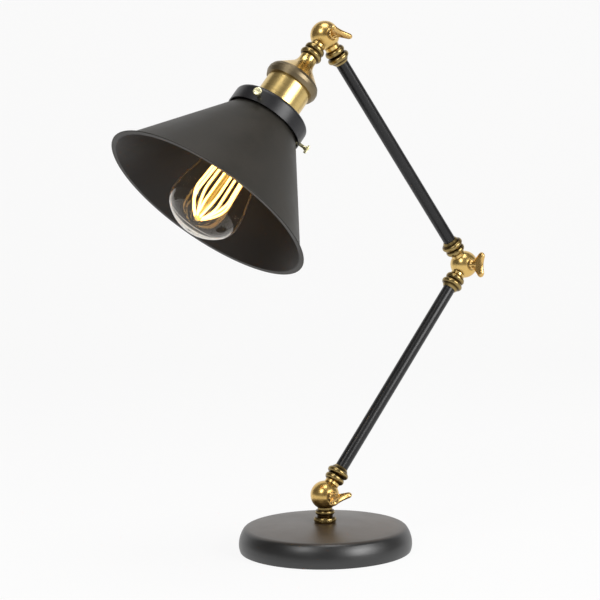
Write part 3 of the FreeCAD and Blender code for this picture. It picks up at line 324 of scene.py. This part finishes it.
def rubber(name, colour, size=0.5, depth=0.08):
    """Matt moulded rubber with a fine grain and a little bloom."""
    soft = finish(name, colour, 0.0, 0.8, Specular_IOR_Level=0.25)
    coords = place_of(soft)
    pores = grain(soft, coords, (1, 1, 1), size, 5, 0.7)
    bloom = grain(soft, coords, (1, 1, 1), 6, 3)
    tone = shades(
        soft, bloom, [(0.3, [c * 0.7 for c in colour]), (0.75, [c * 1.5 for c in colour])]
    )
    coat(soft, tone, levels(soft, pores, 0.7, 0.92), pores, depth)
    return soft


dress(rubber("foam_pad", (0.022, 0.022, 0.022), 0.8, 0.2), "base_pad")
dress(rubber("inlet_rubber", (0.018, 0.018, 0.018)), "inlet_grommet")

# The ball joints: six halves of cast and turned brass, lacquered over a brown patina on their
# stems, whose grooves are painted near black as painted shade. Each pair of halves is closed by a
# wing screw through both.
joints = {joint["name"]: Vector(joint["pos_m"]) for joint in frame["joints"]}
FOOT, ELBOW, TOP = (joints[name + "_pivot"] for name in ("foot", "elbow", "head"))
# A lean is the turn about Y, in degrees, from straight up to the way that an arm or the head points.
LOWER_LEAN, UPPER_LEAN, HEAD_LEAN = 38.9, -37.0, 219.6
BALL_BRASS, BRIGHT_BRASS = (0.74, 0.5, 0.17), (0.76, 0.54, 0.2)
# The near-black groove colour paints shade into the grooves between the stems' beads.
OLD_BRASS, GROOVE_PAINTED_SHADE = (0.34, 0.25, 0.1), (0.05, 0.028, 0.008)


def along(material, coords, stops, reach):
    """Colours a turned piece by the distance along its axis, up to reach in millimetres."""
    split = material.node_tree.nodes.new("ShaderNodeSeparateXYZ")
    material.node_tree.links.new(coords, split.inputs["Vector"])
    share = levels(material, split.outputs["Z"], 0.0, 1.0, 0.0, reach)
    return shades(material, share, [(stop / reach, colour) for stop, colour in stops])


def joint_brass(name, at, lean, stops, reach=30.0):
    """Lacquered brass with turning lines, a cloudy patina, and painted shade darkening the grooves at
    the given places.
    """
    brass = finish(name, BALL_BRASS, 1.0, 0.18)
    coords = place_of(brass, at, lean)
    tone = along(brass, coords, stops, reach)
    patina = grain(brass, coords, (1, 1, 1), 7, 4, 0.55)
    lines = grain(brass, coords, (30, 30, 1), 0.3, 3)
    spots = levels(brass, patina, 0.0, 0.2, 0.5, 0.8)
    aged = blended(brass, spots, tone, (0.5, 0.3, 0.1), "MULTIPLY")
    coat(brass, aged, levels(brass, patina, 0.25, 0.34), lines, 0.001)
    return brass


BEADS = [
    (0, BALL_BRASS),
    (12.6, BRIGHT_BRASS),
    (14.0, GROOVE_PAINTED_SHADE),
    (15.2, OLD_BRASS),
    (17.2, OLD_BRASS),
    (19.8, GROOVE_PAINTED_SHADE),
    (21.4, OLD_BRASS),
    (24.0, OLD_BRASS),
    (25.3, GROOVE_PAINTED_SHADE),
    (27.0, OLD_BRASS),
]
FOOT_RINGS = [
    (0, BALL_BRASS),
    (11.5, OLD_BRASS),
    (12.6, GROOVE_PAINTED_SHADE),
    (14.4, OLD_BRASS),
    (16.6, GROOVE_PAINTED_SHADE),
    (18.2, GROOVE_PAINTED_SHADE),
    (20.5, OLD_BRASS),
    (23.2, OLD_BRASS),
]
for half, at, lean, stops in (
    ("foot_joint", FOOT, 180, FOOT_RINGS),
    ("lower_arm_foot_half", FOOT, LOWER_LEAN, BEADS),
    ("lower_arm_elbow_half", ELBOW, LOWER_LEAN + 180, BEADS),
    ("upper_arm_elbow_half", ELBOW, UPPER_LEAN, BEADS),
    ("upper_arm_head_half", TOP, UPPER_LEAN + 180, BEADS),
    ("head_joint", TOP, HEAD_LEAN, BEADS),
):
    dress(joint_brass(half + "_brass", at, lean, stops), half)

dress(plated_steel("foot_nipple_steel", (0.5, 0.47, 0.38), True), "foot_nipple")

# The arms: two straight steel tubes in the same satin black enamel, pressed into the stems of the
# joints, each with its length of sheathed flex inside.
for arm, at, lean in (("lower_arm", FOOT, LOWER_LEAN), ("upper_arm", ELBOW, UPPER_LEAN)):
    dress(
        black_enamel(
            arm + "_enamel", (0.007, 0.007, 0.008), (0.011, 0.011, 0.012), at, lean, (0.28, 0.36), 0.4
        ),
        arm + "_tube",
    )
sheath = rubber("flex_sheath", (0.02, 0.02, 0.021), 0.4, 0.05)
dress(sheath, "base_flex", "lower_arm_flex", "upper_arm_flex", "head_flex")

# The wing screws: each is one casting, a round collar that runs out into two rounded wings, filed
# and tumbled smooth. A split spring washer sits between its collar and the ball.
WING_TURN = {"foot": 18, "elbow": 86, "head": -20}
WING_THICKNESS, WING_RIM, CAST_GRAIN = 4.4, 1.5, 0.27
WING_ROOT = ((3.8, 13.4), (3.85, 14.4), (4.0, 15.0), (6.1, 17.2), (8.3, 19.4))
LOBE_OUT, LOBE_AT, LOBE_RADIUS, LOBE_START, LOBE_END = 7.8, 24.2, 3.7, -44, 109
DIP_CENTRE, DIP_RADIUS, DIP_START, DIP_END = 46.95, 20.35, -74, -90
DEEP_START, DEEP_END = 13.0, 17.5
COLLAR_SHAPE = (
    (0, -8.5),
    (2.0, -8.5),
    (2.48, -8.0),
    (2.48, 12.15),
    (4.1, 12.15),
    (4.58, 12.5),
    (4.6, 13.3),
    (4.3, 13.95),
    (3.6, 14.4),
    (3.3, 16.2),
    (2.9, 18.4),
    (2.2, 19.6),
    (0, 20.2),
)
WING_BRASS, WING_DEEP = (0.8, 0.54, 0.2), (0.6, 0.36, 0.12)


def wing_plate(shape, outline, thickness, rim):
    """Fills a closed outline in the XZ plane as a cushion: full in the middle, thin at its rim."""
    rings = []
    count = len(outline)
    for inset, half in ((0.0, 0.0), (0.35 * rim, 0.6), (rim, 0.9), (1.9 * rim, 1.0)):
        ring = []
        for place, point in enumerate(outline):
            before, after = outline[place - 1], outline[(place + 1) % count]
            tangent = (after - before).normalized()
            inward = Vector((-tangent.y, tangent.x))
            ring.append((point + inward * inset, half * thickness / 2))
        rings.append(ring)
    for side in (1, -1):
        rows = []
        for ring in rings:
            rows.append([shape.verts.new((p.x, side * half, p.y)) for p, half in ring])
        for outer, inner in zip(rows, rows[1:]):
            for place in range(count):
                after = (place + 1) % count
                corners = (outer[place], outer[after], inner[after], inner[place])
                shape.faces.new(corners if side < 0 else corners[::-1])
        shape.faces.new(rows[-1] if side < 0 else rows[-1][::-1])


def turned_shape(shape, line, steps):
    """Turns a line of (radius, distance) about Z; ends on the axis are closed to a point."""
    rows = []
    for radius, reach in line:
        if radius == 0:
            rows.append([shape.verts.new((0, 0, reach))])
            continue
        rows.append(
            [
                shape.verts.new(
                    (
                        radius * math.cos(2 * math.pi * step / steps),
                        radius * math.sin(2 * math.pi * step / steps),
                        reach,
                    )
                )
                for step in range(steps)
            ]
        )
    for low, high in zip(rows, rows[1:]):
        for step in range(steps):
            after = (step + 1) % steps
            if len(low) == 1:
                shape.faces.new((low[0], high[after], high[step]))
            elif len(high) == 1:
                shape.faces.new((low[step], low[after], high[0]))
            else:
                shape.faces.new((low[step], low[after], high[after], high[step]))


def arc(centre, radius, start, end, steps):
    """Points on an arc in a piece's own plane, in millimetres and degrees."""
    return [
        Vector(
            (
                centre[0] + radius * math.cos(math.radians(start + (end - start) * step / steps)),
                centre[1] + radius * math.sin(math.radians(start + (end - start) * step / steps)),
            )
        )
        for step in range(steps + 1)
    ]


def wing_outline():
    """The outline of the wings: root, flare, round end and the shallow dip between the two."""
    right = [Vector(point) for point in WING_ROOT]
    right += arc((LOBE_OUT, LOBE_AT), LOBE_RADIUS, LOBE_START, LOBE_END, 9)
    right += arc((0, DIP_CENTRE), DIP_RADIUS, DIP_START, DIP_END, 4)
    return right + [Vector((-point.x, point.y)) for point in reversed(right[:-1])]


def wing_brass(name):
    """Cast brass, polished by tumbling, with a cloudy patina; its colour turns darker towards the roots
    of its wings.
    """
    brass = finish(name, WING_BRASS, 1.0, 0.22)
    coords = place_of(brass)
    patina = grain(brass, coords, (1, 1, 1), 5, 4, 0.5)
    sand = grain(brass, coords, (1, 1, 1), 0.6, 3)
    split = brass.node_tree.nodes.new("ShaderNodeSeparateXYZ")
    brass.node_tree.links.new(coords, split.inputs["Vector"])
    root = levels(brass, split.outputs["Z"], 1.0, 0.0, DEEP_START, DEEP_END)
    cast = shades(brass, patina, [(0.3, WING_DEEP), (0.6, WING_BRASS)])
    coat(
        brass,
        blended(brass, root, cast, WING_DEEP),
        levels(brass, patina, 0.24, 0.33),
        sand,
        0.004,
    )
    return brass


for joint, body in (
    ("foot", "foot_wing_screw"),
    ("elbow", "elbow_wing_screw"),
    ("head", "head_wing_screw"),
):
    casting_name = joint + "_wing_casting"
    screw = bpy.data.objects.new(casting_name, bpy.data.meshes.new(casting_name))
    bpy.context.scene.collection.objects.link(screw)
    casting = bmesh.new()
    wing_plate(casting, wing_outline(), WING_THICKNESS, WING_RIM)
    turned_shape(casting, COLLAR_SHAPE, 40)
    casting.to_mesh(screw.data)
    fused = screw.modifiers.new("fused", "REMESH")
    fused.mode = "VOXEL"
    fused.voxel_size = CAST_GRAIN
    fused.use_smooth_shade = True
    tumbled = screw.modifiers.new("tumbled", "CORRECTIVE_SMOOTH")
    tumbled.factor = 0.6
    tumbled.iterations = 4
    tumbled.use_only_smooth = True
    bpy.context.view_layer.update()
    cast_mesh = bpy.data.meshes.new_from_object(
        screw.evaluated_get(bpy.context.evaluated_depsgraph_get())
    )
    screw.modifiers.clear()
    screw.data = cast_mesh
    screw.matrix_world = (
        Matrix.Translation(joints[joint + "_pivot"])
        @ Matrix.Rotation(math.radians(-WING_TURN[joint]), 4, "Y")
        @ Matrix.Rotation(math.radians(90), 4, "X")
        @ Matrix.Diagonal((MM, MM, MM, 1))
    )
    screw.data.materials.append(wing_brass(joint + "_wing_brass"))
    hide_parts(body)
    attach(screw, body)
dress(
    plated_steel("washer_steel", (0.45, 0.44, 0.42), True),
    "foot_spring_washer",
    "upper_arm_spring_washers",
)

# The lampholder: a bell turned from brass and polished, a bronzed band screwed over its joint with
# the body, and a drawn brass body brushed round its axis. Inside it is a porcelain block that
# holds a threaded sleeve, a spring contact and two terminal screws.
HOLDER_BRASS, HOLDER_DEEP = (0.78, 0.55, 0.2), (0.5, 0.34, 0.11)


def turned_brass(name, colour, deep, rough, line_size=0.35, line_depth=0.002):
    """Brass with lines round its axis, and a thin cloudy lacquer."""
    brass = finish(name, colour, 1.0, rough[0])
    coords = place_of(brass, TOP, HEAD_LEAN)
    lines = grain(brass, coords, (60, 60, 1), line_size, 4, 0.7)
    clouds = grain(brass, coords, (1, 1, 1), 14, 3, 0.5)
    drawn = shades(brass, lines, [(0.3, [c * 0.9 for c in colour]), (0.7, colour)])
    aged = blended(brass, levels(brass, clouds, 0.0, 0.3, 0.5, 0.8), drawn, deep)
    coat(brass, aged, levels(brass, lines, *rough), lines, line_depth)
    return brass


dress(turned_brass("bell_brass", HOLDER_BRASS, HOLDER_DEEP, (0.24, 0.3)), "holder_neck")
dress(
    turned_brass("band_bronze", (0.24, 0.19, 0.115), (0.17, 0.13, 0.07), (0.36, 0.46), 0.25, 0.003),
    "holder_band",
)
dress(
    turned_brass("body_brass", (0.76, 0.56, 0.22), (0.5, 0.36, 0.13), (0.26, 0.33), 0.3, 0.0015),
    "holder_body",
)
dress(plated_steel("head_nipple_steel", (0.5, 0.47, 0.38), True, TOP, HEAD_LEAN), "head_nipple")
glaze = finish("glazed_porcelain", (0.78, 0.76, 0.7), 0.0, 0.18, Coat_Weight=0.6, Coat_Roughness=0.08)
glaze_place = place_of(glaze, TOP, HEAD_LEAN)
glaze_pits = grain(glaze, glaze_place, (1, 1, 1), 1.6, 5)
coat(
    glaze,
    shades(glaze, glaze_pits, [(0.3, (0.72, 0.69, 0.62)), (0.7, (0.82, 0.8, 0.75))]),
    levels(glaze, glaze_pits, 0.14, 0.3),
    glaze_pits,
    0.05,
)
dress(glaze, "porcelain_block")
dress(
    turned_brass("contact_brass", (0.8, 0.62, 0.3), (0.55, 0.4, 0.18), (0.22, 0.38)),
    "threaded_sleeve",
    "centre_contact",
    "terminal_screws",
)

# The gallery: a pressed steel cup in satin black enamel, clamped on the lampholder's body by a
# threaded ring. Three thumb screws with knurled heads pass through it and grip the shade's collar.
dress(
    black_enamel(
        "gallery_enamel", (0.009, 0.009, 0.011), (0.014, 0.014, 0.016), TOP, HEAD_LEAN, (0.3, 0.4), 0.45
    ),
    "gallery",
)
dress(plated_steel("ring_steel", (0.5, 0.48, 0.42), True, TOP, HEAD_LEAN), "gallery_ring")
THUMB_BRASS = (0.92, 0.88, 0.58)
THUMB_AT, THUMB_FIRST, THUMB_COUNT = 94, -40, 3
THUMB_SHANK = (
    (0, 30.4),
    (1.0, 30.4),
    (1.48, 30.9),
    (1.48, 38.9),
    (1.9, 39.5),
    (2.1, 40.6),
    (2.9, 40.62),
)
# The head's rings as radius, distance and depth of the knurl, and the height of one tooth's steps.
THUMB_HEAD = (
    (2.9, 40.62, 0.0),
    (3.45, 40.75, 0.12),
    (3.72, 41.0, 0.26),
    (3.8, 41.4, 0.3),
    (3.8, 42.4, 0.3),
    (3.72, 42.75, 0.26),
    (3.4, 42.96, 0.1),
    (2.7, 43.0, 0.0),
    (1.6, 42.86, 0.0),
)
KNURL_TEETH, KNURL_TOOTH = 28, (0.0, 0.45, 1.0, 0.45)


def knurled_screw(shape):
    """A thumb screw along +Z in millimetres, from the gallery's axis: shank, neck and a round head
    with a straight knurl round its edge."""
    turned_shape(shape, THUMB_SHANK, 32)
    steps = KNURL_TEETH * len(KNURL_TOOTH)
    rows = []
    for radius, reach, cut in THUMB_HEAD:
        row = []
        for step in range(steps):
            turn = 2 * math.pi * step / steps
            out = radius - cut * (1 - KNURL_TOOTH[step % len(KNURL_TOOTH)])
            row.append(shape.verts.new((out * math.cos(turn), out * math.sin(turn), reach)))
        rows.append(row)
    for low, high in zip(rows, rows[1:]):
        for step in range(len(low)):
            after = (step + 1) % len(low)
            shape.faces.new((low[step], low[after], high[after], high[step]))
    shape.faces.new(rows[-1])
    shape.faces.new(rows[0][::-1])


for place in range(THUMB_COUNT):
    body, knob_name = f"thumb_screw_{place + 1}", f"thumb_knob_{place + 1}"
    screw = bpy.data.objects.new(knob_name, bpy.data.meshes.new(knob_name))
    bpy.context.scene.collection.objects.link(screw)
    knob = bmesh.new()
    knurled_screw(knob)
    bmesh.ops.remove_doubles(knob, verts=knob.verts, dist=1e-5)
    for face in knob.faces:
        face.smooth = True
    knob.to_mesh(screw.data)
    screw.data.set_sharp_from_angle(angle=math.radians(40))
    screw.matrix_world = (
        Matrix.Translation(TOP)
        @ Matrix.Rotation(math.radians(HEAD_LEAN), 4, "Y")
        @ Matrix.Translation((0, 0, THUMB_AT * MM))
        @ Matrix.Rotation(math.radians(THUMB_FIRST + 360 / THUMB_COUNT * place), 4, "Z")
        @ Matrix.Rotation(math.radians(90), 4, "Y")
        @ Matrix.Diagonal((MM, MM, MM, 1))
    )
    knob_brass = finish(f"thumb_brass_{place + 1}", THUMB_BRASS, 1.0, 0.24)
    knob_place = place_of(knob_brass)
    knob_lines = grain(knob_brass, knob_place, (1, 1, 1), 1.2, 4)
    coat(
        knob_brass,
        shades(knob_brass, knob_lines, [(0.3, (0.76, 0.68, 0.36)), (0.6, THUMB_BRASS)]),
        levels(knob_brass, knob_lines, 0.18, 0.34),
        knob_lines,
        0.02,
    )
    screw.data.materials.append(knob_brass)
    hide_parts(body)
    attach(screw, body)

# The shade: a spun steel cone with a turned-out rim, in satin black enamel. Its inside is painted
# darker than its outside, as painted shade. Faint rings from the spinning show under the paint.
shade_paint = finish("shade_enamel", (0.03, 0.026, 0.021), 0.0, 0.5, Specular_IOR_Level=0.35)
shade_place = place_of(shade_paint, TOP, HEAD_LEAN)
shade_rings = grain(shade_paint, shade_place, (90, 90, 1), 2.4, 3)
shade_clouds = grain(shade_paint, shade_place, (1, 1, 1), 26, 4)
shade_peel = grain(shade_paint, shade_place, (1, 1, 1), 0.9, 2)
shade_dust = grain(shade_paint, shade_place, (1, 1, 1), 0.35, 5, 0.8)
shade_tone = shades(
    shade_paint, shade_clouds, [(0.35, (0.023, 0.021, 0.017)), (0.65, (0.03, 0.0265, 0.0215))]
)
shade_dust_and_inner_shade = blended(
    shade_paint, levels(shade_paint, shade_dust, 0.0, 0.3, 0.66, 0.8), shade_tone, (0.1, 0.095, 0.085)
)
SHADE_COLLAR, SHADE_CONE_START, SHADE_CONE_RADIUS, SHADE_CONE_END = 30.2, 96.8, 88.9, 184.7
SHADE_WALL, SHADE_WALL_BLEND = 0.8, 0.3
SHADE_SLOPE = (SHADE_CONE_RADIUS - SHADE_COLLAR) / (SHADE_CONE_END - SHADE_CONE_START)
shade_nodes, shade_links = shade_paint.node_tree.nodes, shade_paint.node_tree.links
shade_split = shade_nodes.new("ShaderNodeSeparateXYZ")
shade_links.new(shade_place, shade_split.inputs["Vector"])
shade_round = shade_nodes.new("ShaderNodeVectorMath")
shade_round.operation = "MULTIPLY"
shade_round.inputs[1].default_value = (1, 1, 0)
shade_links.new(shade_place, shade_round.inputs[0])
shade_radius = shade_nodes.new("ShaderNodeVectorMath")
shade_radius.operation = "LENGTH"
shade_links.new(shade_round.outputs[0], shade_radius.inputs[0])
shade_depth = shade_nodes.new("ShaderNodeMath")
shade_depth.operation = "MULTIPLY_ADD"
shade_depth.inputs[1].default_value = -SHADE_SLOPE
shade_links.new(shade_split.outputs["Z"], shade_depth.inputs[0])
shade_links.new(shade_radius.outputs["Value"], shade_depth.inputs[2])
shade_wall_at = SHADE_COLLAR - SHADE_SLOPE * SHADE_CONE_START
shade_within = shade_wall_at - SHADE_WALL
# Inside the wall the paint turns near-black brown: painted shade, since less light falls inside the
# shade than on its outside.
shade_inner_painted_shade = levels(
    shade_paint, shade_depth.outputs[0], 1.0, 0.0, shade_within, shade_within + SHADE_WALL_BLEND
)
shade_dust_and_inner_shade = blended(shade_paint, shade_inner_painted_shade, shade_dust_and_inner_shade, (0.011, 0.008, 0.006))
shade_relief = shade_nodes.new("ShaderNodeMath")
shade_relief.operation = "MULTIPLY_ADD"
shade_relief.inputs[1].default_value = 2.0
shade_links.new(shade_rings, shade_relief.inputs[0])
shade_links.new(shade_peel, shade_relief.inputs[2])
coat(
    shade_paint,
    shade_dust_and_inner_shade,
    levels(shade_paint, shade_clouds, 0.44, 0.54),
    shade_relief.outputs[0],
    0.012,
)
dress(shade_paint, "shade")

# The bulb: a clear blown glass envelope on a threaded metal cap. Its mount is a glass flare and
# rod that carries a cage of long coiled filament wires, drawn in to a hub near the dome.
clear_glass = finish(
    "blown_glass_envelope", (0.95, 0.92, 0.86), 0.0, 0.0, Transmission_Weight=1.0, IOR=1.32
)
glass_place = place_of(clear_glass, TOP, HEAD_LEAN)
glass_waves = grain(clear_glass, glass_place, (1, 1, 1), 14, 2)
coat(clear_glass, None, levels(clear_glass, glass_waves, 0.0, 0.02), glass_waves, 0.05, 0.5)
glass_nodes, glass_links = clear_glass.node_tree.nodes, clear_glass.node_tree.links
glass_clear = glass_nodes.new("ShaderNodeBsdfTransparent")
glass_clear.inputs["Color"].default_value = (0.96, 0.95, 0.92, 1)
glass_path = glass_nodes.new("ShaderNodeLightPath")
glass_lit = glass_nodes.new("ShaderNodeMath")
glass_lit.operation = "MAXIMUM"
glass_mix = glass_nodes.new("ShaderNodeMixShader")
glass_links.new(glass_path.outputs["Is Shadow Ray"], glass_lit.inputs[0])
glass_links.new(glass_path.outputs["Is Diffuse Ray"], glass_lit.inputs[1])
glass_links.new(glass_lit.outputs[0], glass_mix.inputs["Fac"])
glass_links.new(glass_nodes["Principled BSDF"].outputs[0], glass_mix.inputs[1])
glass_links.new(glass_clear.outputs[0], glass_mix.inputs[2])
glass_links.new(glass_mix.outputs[0], glass_nodes["Material Output"].inputs["Surface"])
stem_glass = finish(
    "stem_glass", (0.8, 0.76, 0.42), 0.0, 0.25, Transmission_Weight=0.55, IOR=1.4
)
stem_streaks = grain(stem_glass, place_of(stem_glass, TOP, HEAD_LEAN), (1, 1, 20), 1.2, 3)
coat(
    stem_glass,
    shades(stem_glass, stem_streaks, [(0.3, (0.7, 0.66, 0.3)), (0.7, (0.88, 0.84, 0.5))]),
    levels(stem_glass, stem_streaks, 0.15, 0.35),
    stem_streaks,
    0.02,
)
dress(stem_glass, "bulb_mount")
# Where the glass is seen edge-on, a matt brown is mixed in: a painted reflection on the glass's edges.
rim_painted_reflection = glass_nodes.new("ShaderNodeBsdfPrincipled")
rim_painted_reflection.inputs["Base Color"].default_value = (0.5, 0.4, 0.31, 1)
rim_painted_reflection.inputs["Roughness"].default_value = 0.35
rim_edge = glass_nodes.new("ShaderNodeLayerWeight")
rim_edge.inputs["Blend"].default_value = 0.5
rim_mix = glass_nodes.new("ShaderNodeMixShader")
glass_links.new(
    levels(clear_glass, rim_edge.outputs["Facing"], 0.0, 0.55, 0.72, 0.98), rim_mix.inputs["Fac"]
)
rim_out = glass_nodes["Material Output"].inputs["Surface"]
glass_links.new(rim_out.links[0].from_socket, rim_mix.inputs[1])
glass_links.new(rim_painted_reflection.outputs[0], rim_mix.inputs[2])
glass_links.new(rim_mix.outputs[0], rim_out)
dress(clear_glass, "bulb_glass")

cap_metal = finish("cap_metal", (0.72, 0.7, 0.64), 1.0, 0.3)
cap_place = place_of(cap_metal, TOP, HEAD_LEAN)
cap_lines = grain(cap_metal, cap_place, (50, 50, 1), 0.3, 4)
coat(
    cap_metal,
    shades(cap_metal, cap_lines, [(0.3, (0.6, 0.57, 0.5)), (0.7, (0.78, 0.76, 0.7))]),
    levels(cap_metal, cap_lines, 0.22, 0.4),
    cap_lines,
    0.01,
)
dress(cap_metal, "bulb_cap", "bulb_button")
cap_black = finish("cap_black_glass", (0.012, 0.012, 0.014), 0.0, 0.1)
cap_black_pits = grain(cap_black, place_of(cap_black, TOP, HEAD_LEAN), (1, 1, 1), 0.8, 4)
coat(
    cap_black,
    shades(cap_black, cap_black_pits, [(0.3, (0.008, 0.008, 0.01)), (0.7, (0.02, 0.02, 0.024))]),
    levels(cap_black, cap_black_pits, 0.06, 0.2),
    cap_black_pits,
    0.03,
)
dress(cap_black, "bulb_insulator")
dress(plated_steel("support_steel", (0.5, 0.48, 0.44), True, TOP, HEAD_LEAN), "filament_supports")

CAGE_COUNT, CAGE_PHASE, KNEE_STEPS, WINDING_STEPS = 8, 11, 18, 8
WIRE_RADIUS, WINDING_RADIUS, WINDINGS_PER_MM = 0.5, 0.7, 0.75


def cage_line(steps):
    """One wire's path as (radius, distance): straight, then drawn in to the hub by a knee."""
    start, bend, knee, hub = (Vector(p) for p in ((13, 134), (15.8, 175), (15.9, 186), (3.1, 198)))
    straight = [start.lerp(bend, step / steps) for step in range(steps + 1)]
    curved = [
        bend.lerp(knee, share).lerp(knee.lerp(hub, share), share)
        for share in (step / KNEE_STEPS for step in range(1, KNEE_STEPS + 1))
    ]
    return straight + curved


def coiled(line, radius, turns_per_mm):
    """Winds a fine helix round a line, in millimetres."""
    points, travelled = [], 0.0
    for before, after in zip(line, line[1:]):
        step = after - before
        parts = max(1, int(step.length * turns_per_mm * WINDING_STEPS))
        side = Vector((step.y, -step.x)).normalized()
        for part in range(parts):
            here = before + step * part / parts
            turn = 2 * math.pi * turns_per_mm * (travelled + step.length * part / parts)
            points.append(
                (
                    here.x + side.x * radius * math.cos(turn),
                    radius * math.sin(turn),
                    here.y + side.y * radius * math.cos(turn),
                )
            )
        travelled += step.length
    return points


glow = finish("filament_glow", (1.0, 0.6, 0.2), 0.0, 0.5)
glow_shader = glow.node_tree.nodes["Principled BSDF"]
glow_place = place_of(glow)
glow_heat = grain(glow, glow_place, (1, 1, 30), 3.0, 2)
glow.node_tree.links.new(
    shades(glow, glow_heat, [(0.3, (1.0, 0.56, 0.13)), (0.7, (1.0, 0.78, 0.3))]),
    glow_shader.inputs["Emission Color"],
)
glow_shader.inputs["Emission Strength"].default_value = 4.5

wires = bpy.data.curves.new("filament_cage", "CURVE")
wires.dimensions = "3D"
wires.bevel_depth = WIRE_RADIUS
wires.bevel_resolution = 2
wire_points = coiled(cage_line(12), WINDING_RADIUS, WINDINGS_PER_MM)
for place in range(CAGE_COUNT):
    around = Matrix.Rotation(math.radians(CAGE_PHASE + 360 * place / CAGE_COUNT), 3, "Z")
    spline = wires.splines.new("POLY")
    spline.points.add(len(wire_points) - 1)
    for point, position in zip(spline.points, wire_points):
        point.co = (*(around @ Vector(position)), 1)
cage_curve = bpy.data.objects.new("filament_curve", wires)
bpy.context.scene.collection.objects.link(cage_curve)
bpy.context.view_layer.update()
cage = bpy.data.objects.new(
    "filament_cage",
    bpy.data.meshes.new_from_object(
        cage_curve.evaluated_get(bpy.context.evaluated_depsgraph_get())
    ),
)
bpy.data.objects.remove(cage_curve)
bpy.context.scene.collection.objects.link(cage)
cage.matrix_world = (
    Matrix.Translation(TOP)
    @ Matrix.Rotation(math.radians(HEAD_LEAN), 4, "Y")
    @ Matrix.Diagonal((MM, MM, MM, 1))
)
cage.data.materials.clear()
cage.data.materials.append(glow)
for face in cage.data.polygons:
    face.use_smooth = True
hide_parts("filament")
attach(cage, "bulb")
